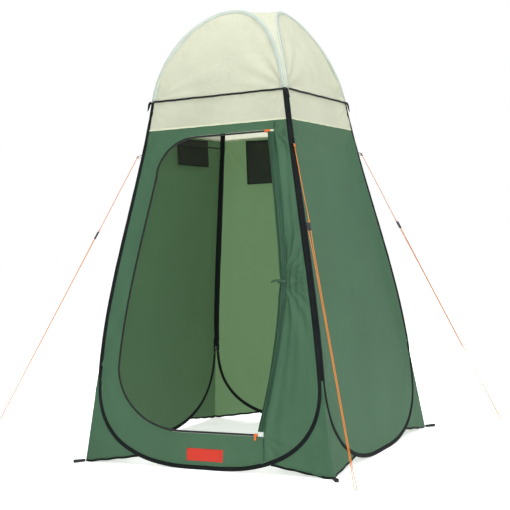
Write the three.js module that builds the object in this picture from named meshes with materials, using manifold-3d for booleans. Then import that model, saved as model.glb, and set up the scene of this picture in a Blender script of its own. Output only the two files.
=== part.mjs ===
// Pop-up privacy shower tent: four spring hoops, one to a wall, bound in fabric sleeves.
// Millimetres, +Z up. The front wall, with the door, faces -Y and the right wall faces +X.
// The origin is on the ground under the middle of the tent.
import * as THREE from 'three'
import { mergeVertices } from 'three/addons/utils/BufferGeometryUtils.js'
import Module from 'manifold-3d'

const wasm = await Module()
wasm.setup()

// ---- Driving dimensions -------------------------------------------------------------------

// The tent's outline. Each half-width is measured from the tent's middle to a wall.
const BASE_SIDE = 1200          // between neighbouring ground corners
const HEIGHT = 2018             // ground to the top of the arches
const KNEE_HEIGHT = 400         // where neighbouring hoops part from each other
const KNEE_TUCK = 51            // how far the knee stands inside the ground corner
const RING_HEIGHT = 1613        // the dark ring round the foot of the roof
const RING_SIDE = 684
const SEAM_DROP = 133           // the green and cream seam below the ring
const CROWN_SIDE = 362          // between the tops of opposite arches
const FOOT_TUCK = 2             // the hoops' feet stand just inside the line of the corners
const KNEE_LEAN = -0.085        // change of half-width per millimetre of height
const RING_LEAN = -0.14
const CROWN_LEAN = -0.67

// The hoops and their bindings.
const FOOT_FLAT = 120           // straight stretch where each hoop stands on the ground
const LOWER_SQUARENESS = 2.3    // exponent of the rounded lower end of a hoop
const ARCH_SQUARENESS = 2.2     // exponent of the arch
const HOOP_INSET = 10.5         // the wire's distance from the corner line
const WIRE_DIAMETER = 4
const FERRULE_DIAMETER = 6
const FERRULE_LENGTH = 40
const BINDING_WIDTH = 15.5
const BINDING_EDGE = 5          // from the wire's axis to the binding's outer edge
const BINDING_WALL = 1
const CHANNEL_HEIGHT = FERRULE_DIAMETER + 0.8
const PANEL_TUCK = 6            // from the wire's axis to the panel edge inside the binding

// Cloth and gaps.
const CLOTH = 1.2
const SEAM_GAP = 0.6
const FIT_GAP = 0.5

// The doorway in the front wall.
const DOOR_TOP = 1440
const DOOR_BOTTOM = 152
const POST_WIDTH = 105          // cloth left between the corner line and the zip
const HINGE_X = 290             // the seam that the door flap hangs from
const TOP_CORNER_WIDTH = 201
const TOP_CORNER_HEIGHT = 171
const BOTTOM_CORNER_WIDTH = 331
const BOTTOM_CORNER_HEIGHT = 268
const GATHER_PULL = 95          // how far the tied flap draws the cloth aside at its middle
const GATHER_SHAPE = 1.2

// The zip.
const ZIP_WIDTH = 9
const ZIP_THICKNESS = 3
const ZIP_END = 30              // the zip stops this far short of the hinge seam
const SLIDER_LENGTH = 14
const SLIDER_WALL = 1.5
const SLIDER_DEPTH = 9.6
const SLIDER_CLEARANCE = 0.6
const PULL_LENGTH = 26
const PULL_WIDTH = 9
const PULL_THICKNESS = 3

// The tied-back door flap, which hangs as a gathered bunch.
const FLAP_DEPTH = 40
const FLAP_STAND = 9            // how far the bunch's middle stands in front of the wall
const FLAP_FOOT_GAP = 20        // the bunch ends this far above the sill
const FLAP_HEAD_GAP = 25        // and this far below the door's top
const TIE_WIDTH = 14
const TIE_THICKNESS = 2

// Gussets at the ground corners and the peg loops.
const HEM_RISE = 40             // the hem's height where it meets the hoop
const CORNER_TIP = 8            // width of the gusset's wing at the ground
const GUSSET_TOP_DROP = 14      // the gusset ends this far below the knee
const LOOP_LENGTH = 54
const LOOP_EYE_WIDTH = 13
const LOOP_ROOT_WIDTH = 5
const LOOP_WEBBING = 1.8
const LOOP_HEIGHT = 12

// Trim.
const RING_TAPE_HEIGHT = 9
const RING_TAPE_THICKNESS = 2.4
const TAIL_REACH = 24           // the tape's loose end past each corner
const TAIL_DROP = 36
const LABEL_WIDTH = 176
const LABEL_HEIGHT = 52
const LABEL_X = 11
const LABEL_Z = 62

// Inside the tent.
const POCKET_DEPTH = 14
const POCKET_CLOTH = 1.4
const POCKET_STAND = 9          // from the wall to the pocket at the seam
const POCKET_TOP_DROP = 6       // from the seam down to the pocket
const LEFT_POCKET = { from: -100, to: 190, height: 130 }
const BACK_POCKET = { from: -85, to: 215, height: 220 }
const STRAP_HEIGHT = 1438
const STRAP_WIDTH = 7
const STRAP_THICKNESS = 1.6

// The guy lines. A line's points are [part of the way to the ground, sideways].
const GUY_HEIGHT = 1370
const GUY_STAND = 14            // the knot stands this far off the corner
const CORD_DIAMETER = 3
// How far the pegs stand out past the tent's corners, along X and along Y.
const GROUND_REACH = { front_left: 350, front_right: 165, back_right: 305, back_left: 305 }
const RUNNER_PLACE = 0.26       // part of the way down at which the runner sits
const RUNNER_LENGTH = 38
const RUNNER_WIDTH = 20
const RUNNER_THICKNESS = 7
const CORD_HOLE = 4.2
const CORD_ROUTE = [
  [0, 0], [0.06, 0.3], [0.14, 1.8], [0.2, 4], [0.24, 5], [0.26, 5], [0.28, 5], [0.34, 3.4],
  [0.45, 2.7], [0.58, 2.6], [0.72, 2.6], [0.86, 2.6], [0.95, 3], [0.984, 5.2], [0.994, 4.6],
  [0.998, 0], [0.994, -4.6], [0.984, -5.2], [0.95, -3], [0.86, -2.6], [0.72, -2.6],
  [0.58, -2.6], [0.45, -2.7], [0.34, -3.4], [0.28, -5], [0.262, -5],
]

// Steps along curved pieces.
const LOWER_STEPS = 12
const SIDE_STEPS = 5
const ARCH_STEPS = 10

// ---- Values that follow from them ---------------------------------------------------------

const baseHalf = BASE_SIDE / 2
const ringHalf = RING_SIDE / 2
const seamHeight = RING_HEIGHT - SEAM_DROP
const wireFoot = BINDING_EDGE +
  (CHANNEL_HEIGHT / 2 + BINDING_WALL) * (KNEE_TUCK - FOOT_TUCK) / KNEE_HEIGHT
const wireCrown = HEIGHT - BINDING_EDGE
const stations = [
  { z: 0, half: baseHalf - FOOT_TUCK, lean: (FOOT_TUCK - KNEE_TUCK) / KNEE_HEIGHT },
  { z: KNEE_HEIGHT, half: baseHalf - KNEE_TUCK, lean: KNEE_LEAN },
  { z: RING_HEIGHT, half: ringHalf, lean: RING_LEAN },
  { z: HEIGHT, half: CROWN_SIDE / 2, lean: CROWN_LEAN },
]

// Half-width of the tent at a height: smooth cubic stretches between the stations.
function halfWidth(z) {
  const last = stations.length - 2
  const index = Math.min(last, Math.max(0, stations.findIndex((s) => z < s.z) - 1))
  const a = stations[z >= HEIGHT ? last : index]
  const b = stations[stations.indexOf(a) + 1]
  const span = b.z - a.z
  const t = (z - a.z) / span
  const t2 = t * t
  const t3 = t2 * t
  return a.half * (2 * t3 - 3 * t2 + 1) + a.lean * span * (t3 - 2 * t2 + t) +
    b.half * (3 * t2 - 2 * t3) + b.lean * span * (t3 - t2)
}

// A point of the front wall's surface, and the way out of the tent there.
const onFront = (x, z) => new THREE.Vector3(x, -halfWidth(z), z)

function outward(z) {
  const lean = (halfWidth(z + 1) - halfWidth(z - 1)) / 2
  return new THREE.Vector3(0, -1, -lean).normalize()
}

// ---- Solids --------------------------------------------------------------------------------

function solidFrom(positions, triangles) {
  const geometry = new THREE.BufferGeometry()
  geometry.setAttribute('position', new THREE.Float32BufferAttribute(positions.flat(), 3))
  geometry.setIndex(triangles.flat())
  return geometry
}

// Sweeps a section along frames. The section is in (u, v): u runs into the wall's cloth and
// v runs out of the tent. A run that comes back to its start is closed.
function sweep(section, frames, closed = false) {
  const count = section.length
  const positions = []
  for (const frame of frames) {
    for (const [u, v] of section) {
      positions.push(frame.at.clone().addScaledVector(frame.u, u)
        .addScaledVector(frame.v, v).toArray())
    }
  }
  const triangles = []
  const runs = closed ? frames.length : frames.length - 1
  for (let i = 0; i < runs; i++) {
    const here = i * count
    const next = ((i + 1) % frames.length) * count
    for (let j = 0; j < count; j++) {
      const k = (j + 1) % count
      triangles.push([here + j, here + k, next + k], [here + j, next + k, next + j])
    }
  }
  if (!closed) {
    const outline = section.map(([u, v]) => new THREE.Vector2(u, v))
    const end = (frames.length - 1) * count
    for (const [a, b, c] of THREE.ShapeUtils.triangulateShape(outline, [])) {
      triangles.push([c, b, a], [end + a, end + b, end + c])
    }
  }
  return solidFrom(positions, triangles)
}

// Frames along points of the front wall's surface, given as [x, z].
function wallFrames(run, closed = false) {
  const points = run.map(([x, z]) => onFront(x, z))
  const last = points.length - 1
  return points.map((at, i) => {
    const before = points[i > 0 ? i - 1 : (closed ? last : 0)]
    const after = points[i < last ? i + 1 : (closed ? 0 : last)]
    const along = after.clone().sub(before).normalize()
    const u = outward(at.z).cross(along).normalize()
    return { at, u, v: along.clone().cross(u).normalize() }
  })
}

// A sheet of cloth: rows of points, joined into a surface and given its thickness.
function clothFromRows(rows) {
  const columns = rows[0].length
  const positions = rows.flat().map((p) => p.toArray())
  const triangles = []
  for (let i = 0; i + 1 < rows.length; i++) {
    for (let j = 0; j + 1 < columns; j++) {
      const a = i * columns + j
      const b = a + columns
      triangles.push([a, a + 1, b + 1], [a, b + 1, b])
    }
  }
  return thicken(solidFrom(positions, triangles), CLOTH)
}

// Gives an open surface its thickness, half to each side, and closes its rim.
function thicken(surface, thickness) {
  const sheet = mergeVertices(surface, 1e-3)
  sheet.computeVertexNormals()
  const at = sheet.getAttribute('position')
  const normal = sheet.getAttribute('normal')
  const index = Array.from(sheet.index.array)
  const positions = []
  for (const side of [0.5, -0.5]) {
    for (let i = 0; i < at.count; i++) {
      const p = new THREE.Vector3().fromBufferAttribute(at, i)
      const n = new THREE.Vector3().fromBufferAttribute(normal, i)
      positions.push(p.addScaledVector(n, side * thickness).toArray())
    }
  }
  const triangles = []
  const edges = new Map()
  for (let i = 0; i < index.length; i += 3) {
    const [a, b, c] = index.slice(i, i + 3)
    if (a === b || b === c || c === a) continue
    triangles.push([a, b, c], [at.count + c, at.count + b, at.count + a])
    for (const [from, to] of [[a, b], [b, c], [c, a]]) {
      if (edges.has(`${to} ${from}`)) edges.delete(`${to} ${from}`)
      else edges.set(`${from} ${to}`, [from, to])
    }
  }
  for (const [from, to] of edges.values()) {
    triangles.push([to, from, at.count + from], [to, at.count + from, at.count + to])
  }
  return solidFrom(positions, triangles)
}

function toManifold(geometry) {
  const bare = geometry.clone()
  bare.deleteAttribute('normal')
  bare.deleteAttribute('uv')
  const merged = mergeVertices(bare, 1e-4)
  return new wasm.Manifold(new wasm.Mesh({
    numProp: 3,
    vertProperties: new Float32Array(merged.getAttribute('position').array),
    triVerts: new Uint32Array(merged.index.array),
  }))
}

function toGeometry(manifold) {
  const mesh = manifold.getMesh()
  const geometry = new THREE.BufferGeometry()
  geometry.setAttribute('position', new THREE.Float32BufferAttribute(mesh.vertProperties, 3))
  geometry.setIndex(new THREE.Uint32BufferAttribute(mesh.triVerts, 1))
  return geometry
}

const cut = (body, ...tools) => toGeometry(
  tools.reduce((left, tool) => left.subtract(toManifold(tool)), toManifold(body)))

const join = (body, ...more) => toGeometry(
  more.reduce((left, piece) => left.add(toManifold(piece)), toManifold(body)))

// ---- The object ----------------------------------------------------------------------------

const tent = new THREE.Group()
tent.name = 'privacy_shower_tent'
const walls = {}
for (const [turn, name] of ['front', 'right', 'back', 'left'].entries()) {
  walls[name] = new THREE.Group()
  walls[name].rotation.z = turn * Math.PI / 2
  tent.add(walls[name])
}
// Corner groups: their own +X axis points out along the corner's diagonal.
const corners = {}
const cornerTurns = { front_right: -1, back_right: 1, back_left: 3, front_left: 5 }
for (const [name, eighths] of Object.entries(cornerTurns)) {
  corners[name] = new THREE.Group()
  corners[name].rotation.z = eighths * Math.PI / 4
  tent.add(corners[name])
}

const look = (color, roughness, metalness = 0) => () =>
  new THREE.MeshStandardMaterial({ color, roughness, metalness })
const greenCloth = look(0x4f7a5c, 0.75)
const creamCloth = look(0xdfe4cb, 0.75)
const paleSleeve = look(0xc3d0c6, 0.8)
const blackBinding = look(0x23292d, 0.8)
const springSteel = look(0x8d9196, 0.35, 1)
const orangeCord = look(0xe8842f, 0.7)
const orangePlastic = look(0xe0622a, 0.5)
const blackPlastic = look(0x1c1e20, 0.5)
const blackMesh = look(0x15191a, 0.9)
const redLabel = look(0xd83a1e, 0.6)

function add(parent, name, geometry, material) {
  const mesh = new THREE.Mesh(geometry, material())
  mesh.name = name
  parent.add(mesh)
  return mesh
}

// ---- Hoops, bindings and arch sleeves ------------------------------------------------------

const quarter = (step, steps) => step / steps * Math.PI / 2
const steps = (count, make) => Array.from({ length: count }, (_, i) => make(i))

// The wire's line on the right half of a wall, as [x, z], from the foot up to the ring.
function lowerRun() {
  const power = 2 / LOWER_SQUARENESS
  const round = steps(LOWER_STEPS + 1, (i) => {
    const angle = quarter(i, LOWER_STEPS)
    const z = wireFoot + (KNEE_HEIGHT - wireFoot) * (1 - Math.cos(angle) ** power)
    const reach = halfWidth(z) - HOOP_INSET - FOOT_FLAT / 2
    return [FOOT_FLAT / 2 + reach * Math.sin(angle) ** power, z]
  })
  const side = steps(SIDE_STEPS, (i) => {
    const z = KNEE_HEIGHT + (seamHeight - KNEE_HEIGHT) * (i + 1) / SIDE_STEPS
    return [halfWidth(z) - HOOP_INSET, z]
  })
  return [...round, ...side, [ringHalf - HOOP_INSET, RING_HEIGHT]]
}

// The same from above the ring up to the crown, without the crown's own point.
function archRun() {
  const power = 2 / ARCH_SQUARENESS
  return steps(ARCH_STEPS - 1, (i) => {
    const angle = quarter(i + 1, ARCH_STEPS)
    const z = RING_HEIGHT + (wireCrown - RING_HEIGHT) * Math.sin(angle) ** power
    const reach = ringHalf - HOOP_INSET + RING_LEAN * (z - RING_HEIGHT)
    return [reach * Math.cos(angle) ** power, z]
  })
}

const mirror = (run) => run.map(([x, z]) => [-x, z]).reverse()
const lower = lowerRun()
const arch = archRun()
const crown = [0, wireCrown]
const hoopLine = [...lower, ...arch, crown, ...mirror(arch), ...mirror(lower)]
const hoopFrames = wallFrames(hoopLine, true)

// Part of the hoop's run, drawn back at both ends by half the gap at the ring.
function coverFrames(frames) {
  return frames.map((frame, i) => {
    const along = frame.u.clone().cross(frame.v)
    const shift = i === 0 ? SEAM_GAP / 2 : (i === frames.length - 1 ? -SEAM_GAP / 2 : 0)
    return { ...frame, at: frame.at.clone().addScaledVector(along, shift) }
  })
}

const bindingFrames = coverFrames(
  [...hoopFrames.slice(-lower.length), ...hoopFrames.slice(0, lower.length)])
const archFrames = coverFrames(
  hoopFrames.slice(lower.length - 1, hoopFrames.length - lower.length + 1))
const archHalf = arch.length + 1

// A folded tape: a channel that holds the wire and takes the panel's edge.
const outer = CHANNEL_HEIGHT / 2 + BINDING_WALL
const inner = CHANNEL_HEIGHT / 2
const mouth = BINDING_WIDTH - BINDING_EDGE
const channel = [
  [-BINDING_EDGE, -outer], [mouth, -outer], [mouth, -inner],
  [BINDING_WALL - BINDING_EDGE, -inner], [BINDING_WALL - BINDING_EDGE, inner],
  [mouth, inner], [mouth, outer], [-BINDING_EDGE, outer],
]
const wireSection = steps(6, (i) => [
  WIRE_DIAMETER / 2 * Math.cos(i * Math.PI / 3),
  WIRE_DIAMETER / 2 * Math.sin(i * Math.PI / 3),
])

function hoop() {
  const ferrule = new THREE.CylinderGeometry(
    FERRULE_DIAMETER / 2, FERRULE_DIAMETER / 2, FERRULE_LENGTH, 8)
  ferrule.rotateZ(Math.PI / 2)
  ferrule.translate(0, -halfWidth(wireFoot), wireFoot)
  return join(sweep(wireSection, hoopFrames, true), ferrule)
}

for (const [name, wall] of Object.entries(walls)) {
  add(wall, `hoop_${name}`, hoop(), springSteel)
  add(wall, `binding_${name}`, sweep(channel, bindingFrames), blackBinding)
  add(wall, `arch_sleeve_${name}`, sweep(channel, archFrames), paleSleeve)
}

// ---- Wall cloth ----------------------------------------------------------------------------

// The right edge of the cloth inside the binding, from the foot up, as points of the wall.
const edgeOf = (frames) => frames.map((f) => f.at.clone().addScaledVector(f.u, PANEL_TUCK))
const lowerEdge = edgeOf(bindingFrames.slice(lower.length))
const archEdge = edgeOf(archFrames.slice(0, archHalf))

// The edge's x at a height, between the points of the edge.
function edgeX(edge, z) {
  const found = edge.findIndex((p) => p.z >= z)
  const above = found < 0 ? edge.length - 1 : Math.max(1, found)
  const [a, b] = [edge[above - 1], edge[above]]
  return a.x + (b.x - a.x) * (z - a.z) / (b.z - a.z)
}

// The cloth between two heights, with a row at each point of its edge and at each given height.
function clothBetween(edge, from, to, rows = []) {
  const between = [...edge.map((p) => p.z), ...rows].filter((z) => z > from + 1 && z < to - 1)
  const heights = [from, ...between.sort((a, b) => a - b), to]
  return clothFromRows(heights.map((z) => {
    const x = edgeX(edge, z)
    return [onFront(-x, z), onFront(x, z)]
  }))
}

const wallFoot = lowerEdge[0].z
const bandTop = RING_HEIGHT - SEAM_GAP
const archFoot = RING_HEIGHT + SEAM_GAP
const archTop = archEdge.at(-1).z
const greenWall = clothBetween(
  lowerEdge, wallFoot, seamHeight - SEAM_GAP / 2, [DOOR_BOTTOM, DOOR_TOP])
for (const name of ['right', 'back', 'left']) {
  add(walls[name], `wall_${name}`, greenWall.clone(), greenCloth)
}
for (const [name, wall] of Object.entries(walls)) {
  add(wall, `cream_band_${name}`,
    clothBetween(lowerEdge, seamHeight + SEAM_GAP / 2, bandTop), creamCloth)
  add(wall, `arch_panel_${name}`, clothBetween(archEdge, archFoot, archTop), creamCloth)
}

// ---- Front wall, doorway and zip -----------------------------------------------------------

const postX = (z) => POST_WIDTH - halfWidth(z)
const topCornerFoot = DOOR_TOP - TOP_CORNER_HEIGHT
const bottomCornerHead = DOOR_BOTTOM + BOTTOM_CORNER_HEIGHT
const topCornerX = postX(topCornerFoot) + TOP_CORNER_WIDTH
const bottomCornerX = postX(bottomCornerHead) + BOTTOM_CORNER_WIDTH

// The line of the doorway on the fixed cloth: along the top, down the post, along the sill.
function doorLine(endX) {
  const arcSteps = 7
  const top = steps(arcSteps + 1, (i) => [
    topCornerX - TOP_CORNER_WIDTH * Math.sin(quarter(i, arcSteps)),
    topCornerFoot + TOP_CORNER_HEIGHT * Math.cos(quarter(i, arcSteps)),
  ])
  const post = steps(4, (i) => {
    const z = topCornerFoot + (bottomCornerHead - topCornerFoot) * (i + 1) / 5
    return [postX(z), z]
  })
  const bottom = steps(arcSteps + 1, (i) => [
    bottomCornerX - BOTTOM_CORNER_WIDTH * Math.cos(quarter(i, arcSteps)),
    bottomCornerHead - BOTTOM_CORNER_HEIGHT * Math.sin(quarter(i, arcSteps)),
  ])
  return [[endX, DOOR_TOP], ...top, ...post, ...bottom, [endX, DOOR_BOTTOM]]
}

// The edge of the cloth that the tied flap draws aside.
const doorPart = (z) => (z - DOOR_BOTTOM) / (DOOR_TOP - DOOR_BOTTOM)
const drawnX = (z) => HINGE_X + GATHER_PULL * Math.sin(Math.PI * doorPart(z)) ** GATHER_SHAPE

function doorCutter() {
  const drawn = steps(11, (i) => {
    const z = DOOR_BOTTOM + (DOOR_TOP - DOOR_BOTTOM) * (i + 1) / 12
    return [drawnX(z), z]
  })
  const outline = [...doorLine(HINGE_X), ...drawn].map(([x, z]) => new THREE.Vector2(x, z))
  const cutter = new THREE.ExtrudeGeometry(new THREE.Shape(outline),
    { depth: BASE_SIDE, steps: 1, bevelEnabled: false })
  return cutter.rotateX(Math.PI / 2)
}

function halfSpace(fromX, toX) {
  const block = new THREE.BoxGeometry(toX - fromX, BASE_SIDE, 2 * HEIGHT)
  return block.translate((fromX + toX) / 2, -baseHalf, 0)
}

const opened = cut(greenWall, doorCutter())
add(walls.front, 'wall_front',
  cut(opened, halfSpace(HINGE_X - SEAM_GAP / 2, BASE_SIDE)), greenCloth)
add(walls.front, 'hinge_panel',
  cut(opened, halfSpace(-BASE_SIDE, HINGE_X + SEAM_GAP / 2)), greenCloth)

// The zip's fixed half runs round the doorway, just inside the cloth's edge. Its frames'
// u axis points into the doorway.
const zipMiddle = FIT_GAP + ZIP_WIDTH / 2
const zipEnd = HINGE_X - ZIP_END
const zipFrames = wallFrames(doorLine(zipEnd))
for (const frame of zipFrames) {
  frame.at.addScaledVector(frame.u, zipMiddle)
}
const box2 = (u0, u1, v0, v1) => [[u0, v0], [u1, v0], [u1, v1], [u0, v1]]
add(walls.front, 'zip_track', sweep(
  box2(-ZIP_WIDTH / 2, ZIP_WIDTH / 2, -ZIP_THICKNESS / 2, ZIP_THICKNESS / 2), zipFrames),
blackBinding)

// A slider wraps the track's free edge and is open towards the cloth.
const sliderReach = ZIP_WIDTH / 2 + SLIDER_CLEARANCE
const slotHalf = ZIP_THICKNESS / 2 + SLIDER_CLEARANCE
const sliderSection = [
  [-sliderReach, -SLIDER_DEPTH / 2], [sliderReach + SLIDER_WALL, -SLIDER_DEPTH / 2],
  [sliderReach + SLIDER_WALL, SLIDER_DEPTH / 2], [-sliderReach, SLIDER_DEPTH / 2],
  [-sliderReach, slotHalf], [sliderReach, slotHalf], [sliderReach, -slotHalf],
  [-sliderReach, -slotHalf],
]
const sliderX = zipEnd - SLIDER_LENGTH / 2 - FIT_GAP

// Frames across a slider: u into the doorway, v out of the tent.
function sliderFrames(z, intoDoor) {
  const v = outward(z)
  const along = intoDoor > 0 ? 1 : -1
  const u = v.clone().cross(new THREE.Vector3(along, 0, 0))
  const middle = onFront(sliderX, z).addScaledVector(u, zipMiddle)
  return [-1, 1].map((end) => ({
    at: middle.clone().add(new THREE.Vector3(end * along * SLIDER_LENGTH / 2, 0, 0)), u, v,
  }))
}

// A pull is a flat tab that turns on the slider's face, with a round end at its eye.
function pull(frames, angle) {
  const outline = new THREE.Shape()
  outline.absarc(0, 0, PULL_WIDTH / 2, Math.PI / 2, 3 * Math.PI / 2)
  outline.absarc(PULL_LENGTH - PULL_WIDTH, 0, PULL_WIDTH / 2, -Math.PI / 2, Math.PI / 2)
  const tab = new THREE.ExtrudeGeometry(outline,
    { depth: PULL_THICKNESS, steps: 1, curveSegments: 5, bevelEnabled: false })
  tab.rotateZ(angle)
  const { u, v } = frames[0]
  const up = u.z > 0 ? u.clone() : u.clone().negate()
  const basis = new THREE.Matrix4().makeBasis(new THREE.Vector3(1, 0, 0), up, v)
  tab.applyMatrix4(basis)
  const face = frames[0].at.clone().add(frames[1].at).multiplyScalar(0.5)
    .addScaledVector(v, SLIDER_DEPTH / 2 + FIT_GAP)
  return tab.translate(...face.toArray())
}

const topSlider = sliderFrames(DOOR_TOP, -1)
const bottomSlider = sliderFrames(DOOR_BOTTOM, 1)
add(walls.front, 'zip_slider_top', sweep(sliderSection, topSlider), orangePlastic)
add(walls.front, 'zip_slider_bottom', sweep(sliderSection, bottomSlider), orangePlastic)
add(walls.front, 'zip_pull_top', pull(topSlider, 0), orangePlastic)
add(walls.front, 'zip_pull_bottom', pull(bottomSlider, -Math.PI / 2), orangePlastic)

// ---- Door flap, tied back ------------------------------------------------------------------

// The bunch's left edge, as [part of the door's height, width left of the drawn edge].
const flapWidths = [
  [0, 32], [0.12, 24], [0.21, 27], [0.34, 33], [0.46, 38], [0.489, 34], [0.511, 34],
  [0.55, 46], [0.62, 62], [0.72, 66], [0.83, 60], [0.93, 48], [1, 40],
]
const flapSide = FIT_GAP + TIE_THICKNESS + FIT_GAP + 1
const flapFoot = DOOR_BOTTOM + FLAP_FOOT_GAP
const flapHead = DOOR_TOP - FLAP_HEAD_GAP
const tieHeight = (flapFoot + flapHead) / 2

function flapStation([part, width]) {
  const z = flapFoot + (flapHead - flapFoot) * part
  const nearTie = Math.abs(z - tieHeight) < 2 * TIE_WIDTH
  const place = nearTie ? tieHeight : z
  return {
    z,
    x: drawnX(place) - flapSide - width / 2,
    y: -halfWidth(place) - FLAP_STAND,
    a: width / 2,
    b: (nearTie ? width : FLAP_DEPTH) / 2,
  }
}

const flapStations = flapWidths.map(flapStation)
const flapSides = 10
const ellipse = (s, grow) => steps(flapSides, (i) => {
  const angle = i / flapSides * 2 * Math.PI
  return [(s.a + grow) * Math.cos(angle), (s.b + grow) * Math.sin(angle)]
})

function flap() {
  const positions = []
  const rings = flapStations.map((s) => ellipse(s, 0).map(([x, y]) => [s.x + x, s.y + y, s.z]))
  rings.forEach((ring) => positions.push(...ring))
  const triangles = []
  for (let i = 0; i + 1 < rings.length; i++) {
    for (let j = 0; j < flapSides; j++) {
      const k = (j + 1) % flapSides
      const [here, next] = [i * flapSides, (i + 1) * flapSides]
      triangles.push([here + j, here + k, next + k], [here + j, next + k, next + j])
    }
  }
  const top = (rings.length - 1) * flapSides
  for (let j = 1; j + 1 < flapSides; j++) {
    triangles.push([0, j + 1, j], [top, top + j, top + j + 1])
  }
  return solidFrom(positions, triangles)
}

// The tie is a band round the bunch, where the bunch is narrowest.
function tie() {
  const s = flapStations[5]
  const band = (grow) => ellipse(s, grow).map(([x, y]) => new THREE.Vector2(x, y))
  const ring = new THREE.Shape(band(TIE_THICKNESS + FIT_GAP))
  ring.holes.push(new THREE.Path(band(FIT_GAP).reverse()))
  const geometry = new THREE.ExtrudeGeometry(ring,
    { depth: TIE_WIDTH, steps: 1, bevelEnabled: false })
  return geometry.translate(s.x, s.y, tieHeight - TIE_WIDTH / 2)
}

add(walls.front, 'door_flap', flap(), greenCloth)
add(walls.front, 'flap_tie', tie(), greenCloth)

// ---- Label on the sill ---------------------------------------------------------------------

function onWallBox(width, height, thickness, x, z, stand) {
  const box = new THREE.BoxGeometry(width, height, thickness)
  const v = outward(z)
  const u = v.clone().cross(new THREE.Vector3(1, 0, 0))
  box.applyMatrix4(new THREE.Matrix4().makeBasis(new THREE.Vector3(1, 0, 0), u, v))
  const at = onFront(x, z).addScaledVector(v, stand + thickness / 2)
  return box.translate(...at.toArray())
}

add(walls.front, 'sill_label',
  onWallBox(LABEL_WIDTH, LABEL_HEIGHT, 1, LABEL_X, LABEL_Z, CLOTH / 2 + FIT_GAP), redLabel)

// ---- Roof ----------------------------------------------------------------------------------

// The star: four arms that run up between neighbouring arches, and the cloth between the
// arches' tops. Its edge lies beside the sleeves.
const STAR_START = 3            // the first step of the arch with room for an arm
const CROWN_DIP = 18            // the cloth's sag at the middle of the roof
const CHORD_DIP = 8             // and half-way between neighbouring arch tops
const ACROSS = 4

function roofStar() {
  const beside = -(BINDING_EDGE + FIT_GAP + CLOTH / 2)
  const edge = archFrames.slice(STAR_START, archHalf + 1)
    .map((f) => f.at.clone().addScaledVector(f.u, beside))
  edge[edge.length - 1].x = 0
  const rise = edge.at(-1).z - edge[0].z
  const positions = []
  const triangles = []
  const addRows = (rows) => {
    const first = positions.length
    const columns = rows[0].length
    positions.push(...rows.flat())
    for (let i = 0; i + 1 < rows.length; i++) {
      for (let j = 0; j + 1 < columns; j++) {
        const a = first + i * columns + j
        const b = a + columns
        triangles.push([a, a + 1, b + 1], [a, b + 1, b])
      }
    }
  }
  const dipped = (p, q, dip) => steps(ACROSS + 1, (j) => {
    const t = j / ACROSS
    const point = p.clone().lerp(q, t)
    point.z -= dip * 4 * t * (1 - t)
    return point
  })
  const turned = (point, quarters) =>
    point.clone().applyAxisAngle(new THREE.Vector3(0, 0, 1), quarters * Math.PI / 2)
  for (let side = 0; side < 4; side++) {
    addRows(edge.map((p) => {
      const other = new THREE.Vector3(-p.y, -p.x, p.z)
      const dip = CHORD_DIP * (p.z - edge[0].z) / rise
      return dipped(p, other, dip).map((q) => turned(q, side).toArray())
    }))
  }
  const top = edge.at(-1)
  const [front, right, back, left] = steps(4, (side) => turned(top, side))
  const near = dipped(front, right, CHORD_DIP)
  const far = dipped(left, back, CHORD_DIP)
  const nearSide = dipped(front, left, CHORD_DIP)
  addRows(steps(ACROSS + 1, (i) => steps(ACROSS + 1, (j) => {
    const [s, t] = [i / ACROSS, j / ACROSS]
    const point = near[j].clone().lerp(far[j], s)
    const middle = 16 * s * (1 - s) * t * (1 - t)
    point.z = top.z - CHORD_DIP * (4 * t * (1 - t) + 4 * s * (1 - s)) * (1 - middle)
      - CROWN_DIP * middle
    point.z = i === 0 || i === ACROSS ? near[j].z : point.z
    point.z = j === 0 || j === ACROSS ? nearSide[i].z : point.z
    return point.toArray()
  })))
  return thicken(solidFrom(positions, triangles), CLOTH)
}

add(tent, 'roof_star', roofStar(), creamCloth)

// ---- Ring tape with its loose ends ---------------------------------------------------------

function ringTape() {
  const stand = outer + 2 * FIT_GAP + (RING_TAPE_THICKNESS - RING_LEAN * RING_TAPE_HEIGHT) / 2
  const at = (x, y, z) => new THREE.Vector3(x, y, z)
  const y = -ringHalf - stand
  const out = ringHalf + stand
  const start = ringHalf - BINDING_WIDTH
  const points = [at(-start, y, RING_HEIGHT), at(start, y, RING_HEIGHT),
    at(out - 2, y, RING_HEIGHT), at(out + TAIL_REACH, y - 3, RING_HEIGHT - TAIL_DROP)]
  const up = at(0, 0, 1)
  const frames = points.map((point, i) => {
    const along = points[Math.min(i + 1, 3)].clone().sub(points[Math.max(i - 1, 0)]).normalize()
    const v = along.clone().cross(up).normalize()
    return { at: point, u: v.clone().cross(along).normalize(), v }
  })
  const [h, t] = [RING_TAPE_HEIGHT / 2, RING_TAPE_THICKNESS / 2]
  return sweep(box2(-h, h, -t, t), frames)
}

for (const [name, wall] of Object.entries(walls)) {
  add(wall, `ring_tape_${name}`, ringTape(), blackBinding)
}

// ---- Ground corners ------------------------------------------------------------------------

// The gusset fills the space between two hoops and their corner: a sheet creased down its
// middle. It is built for the front right corner and turned to the others.
const outerEdge = bindingFrames.slice(lower.length)
  .map((f) => f.at.clone().addScaledVector(f.u, -(BINDING_EDGE + FIT_GAP)))
const gussetTop = KNEE_HEIGHT - GUSSET_TOP_DROP

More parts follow.
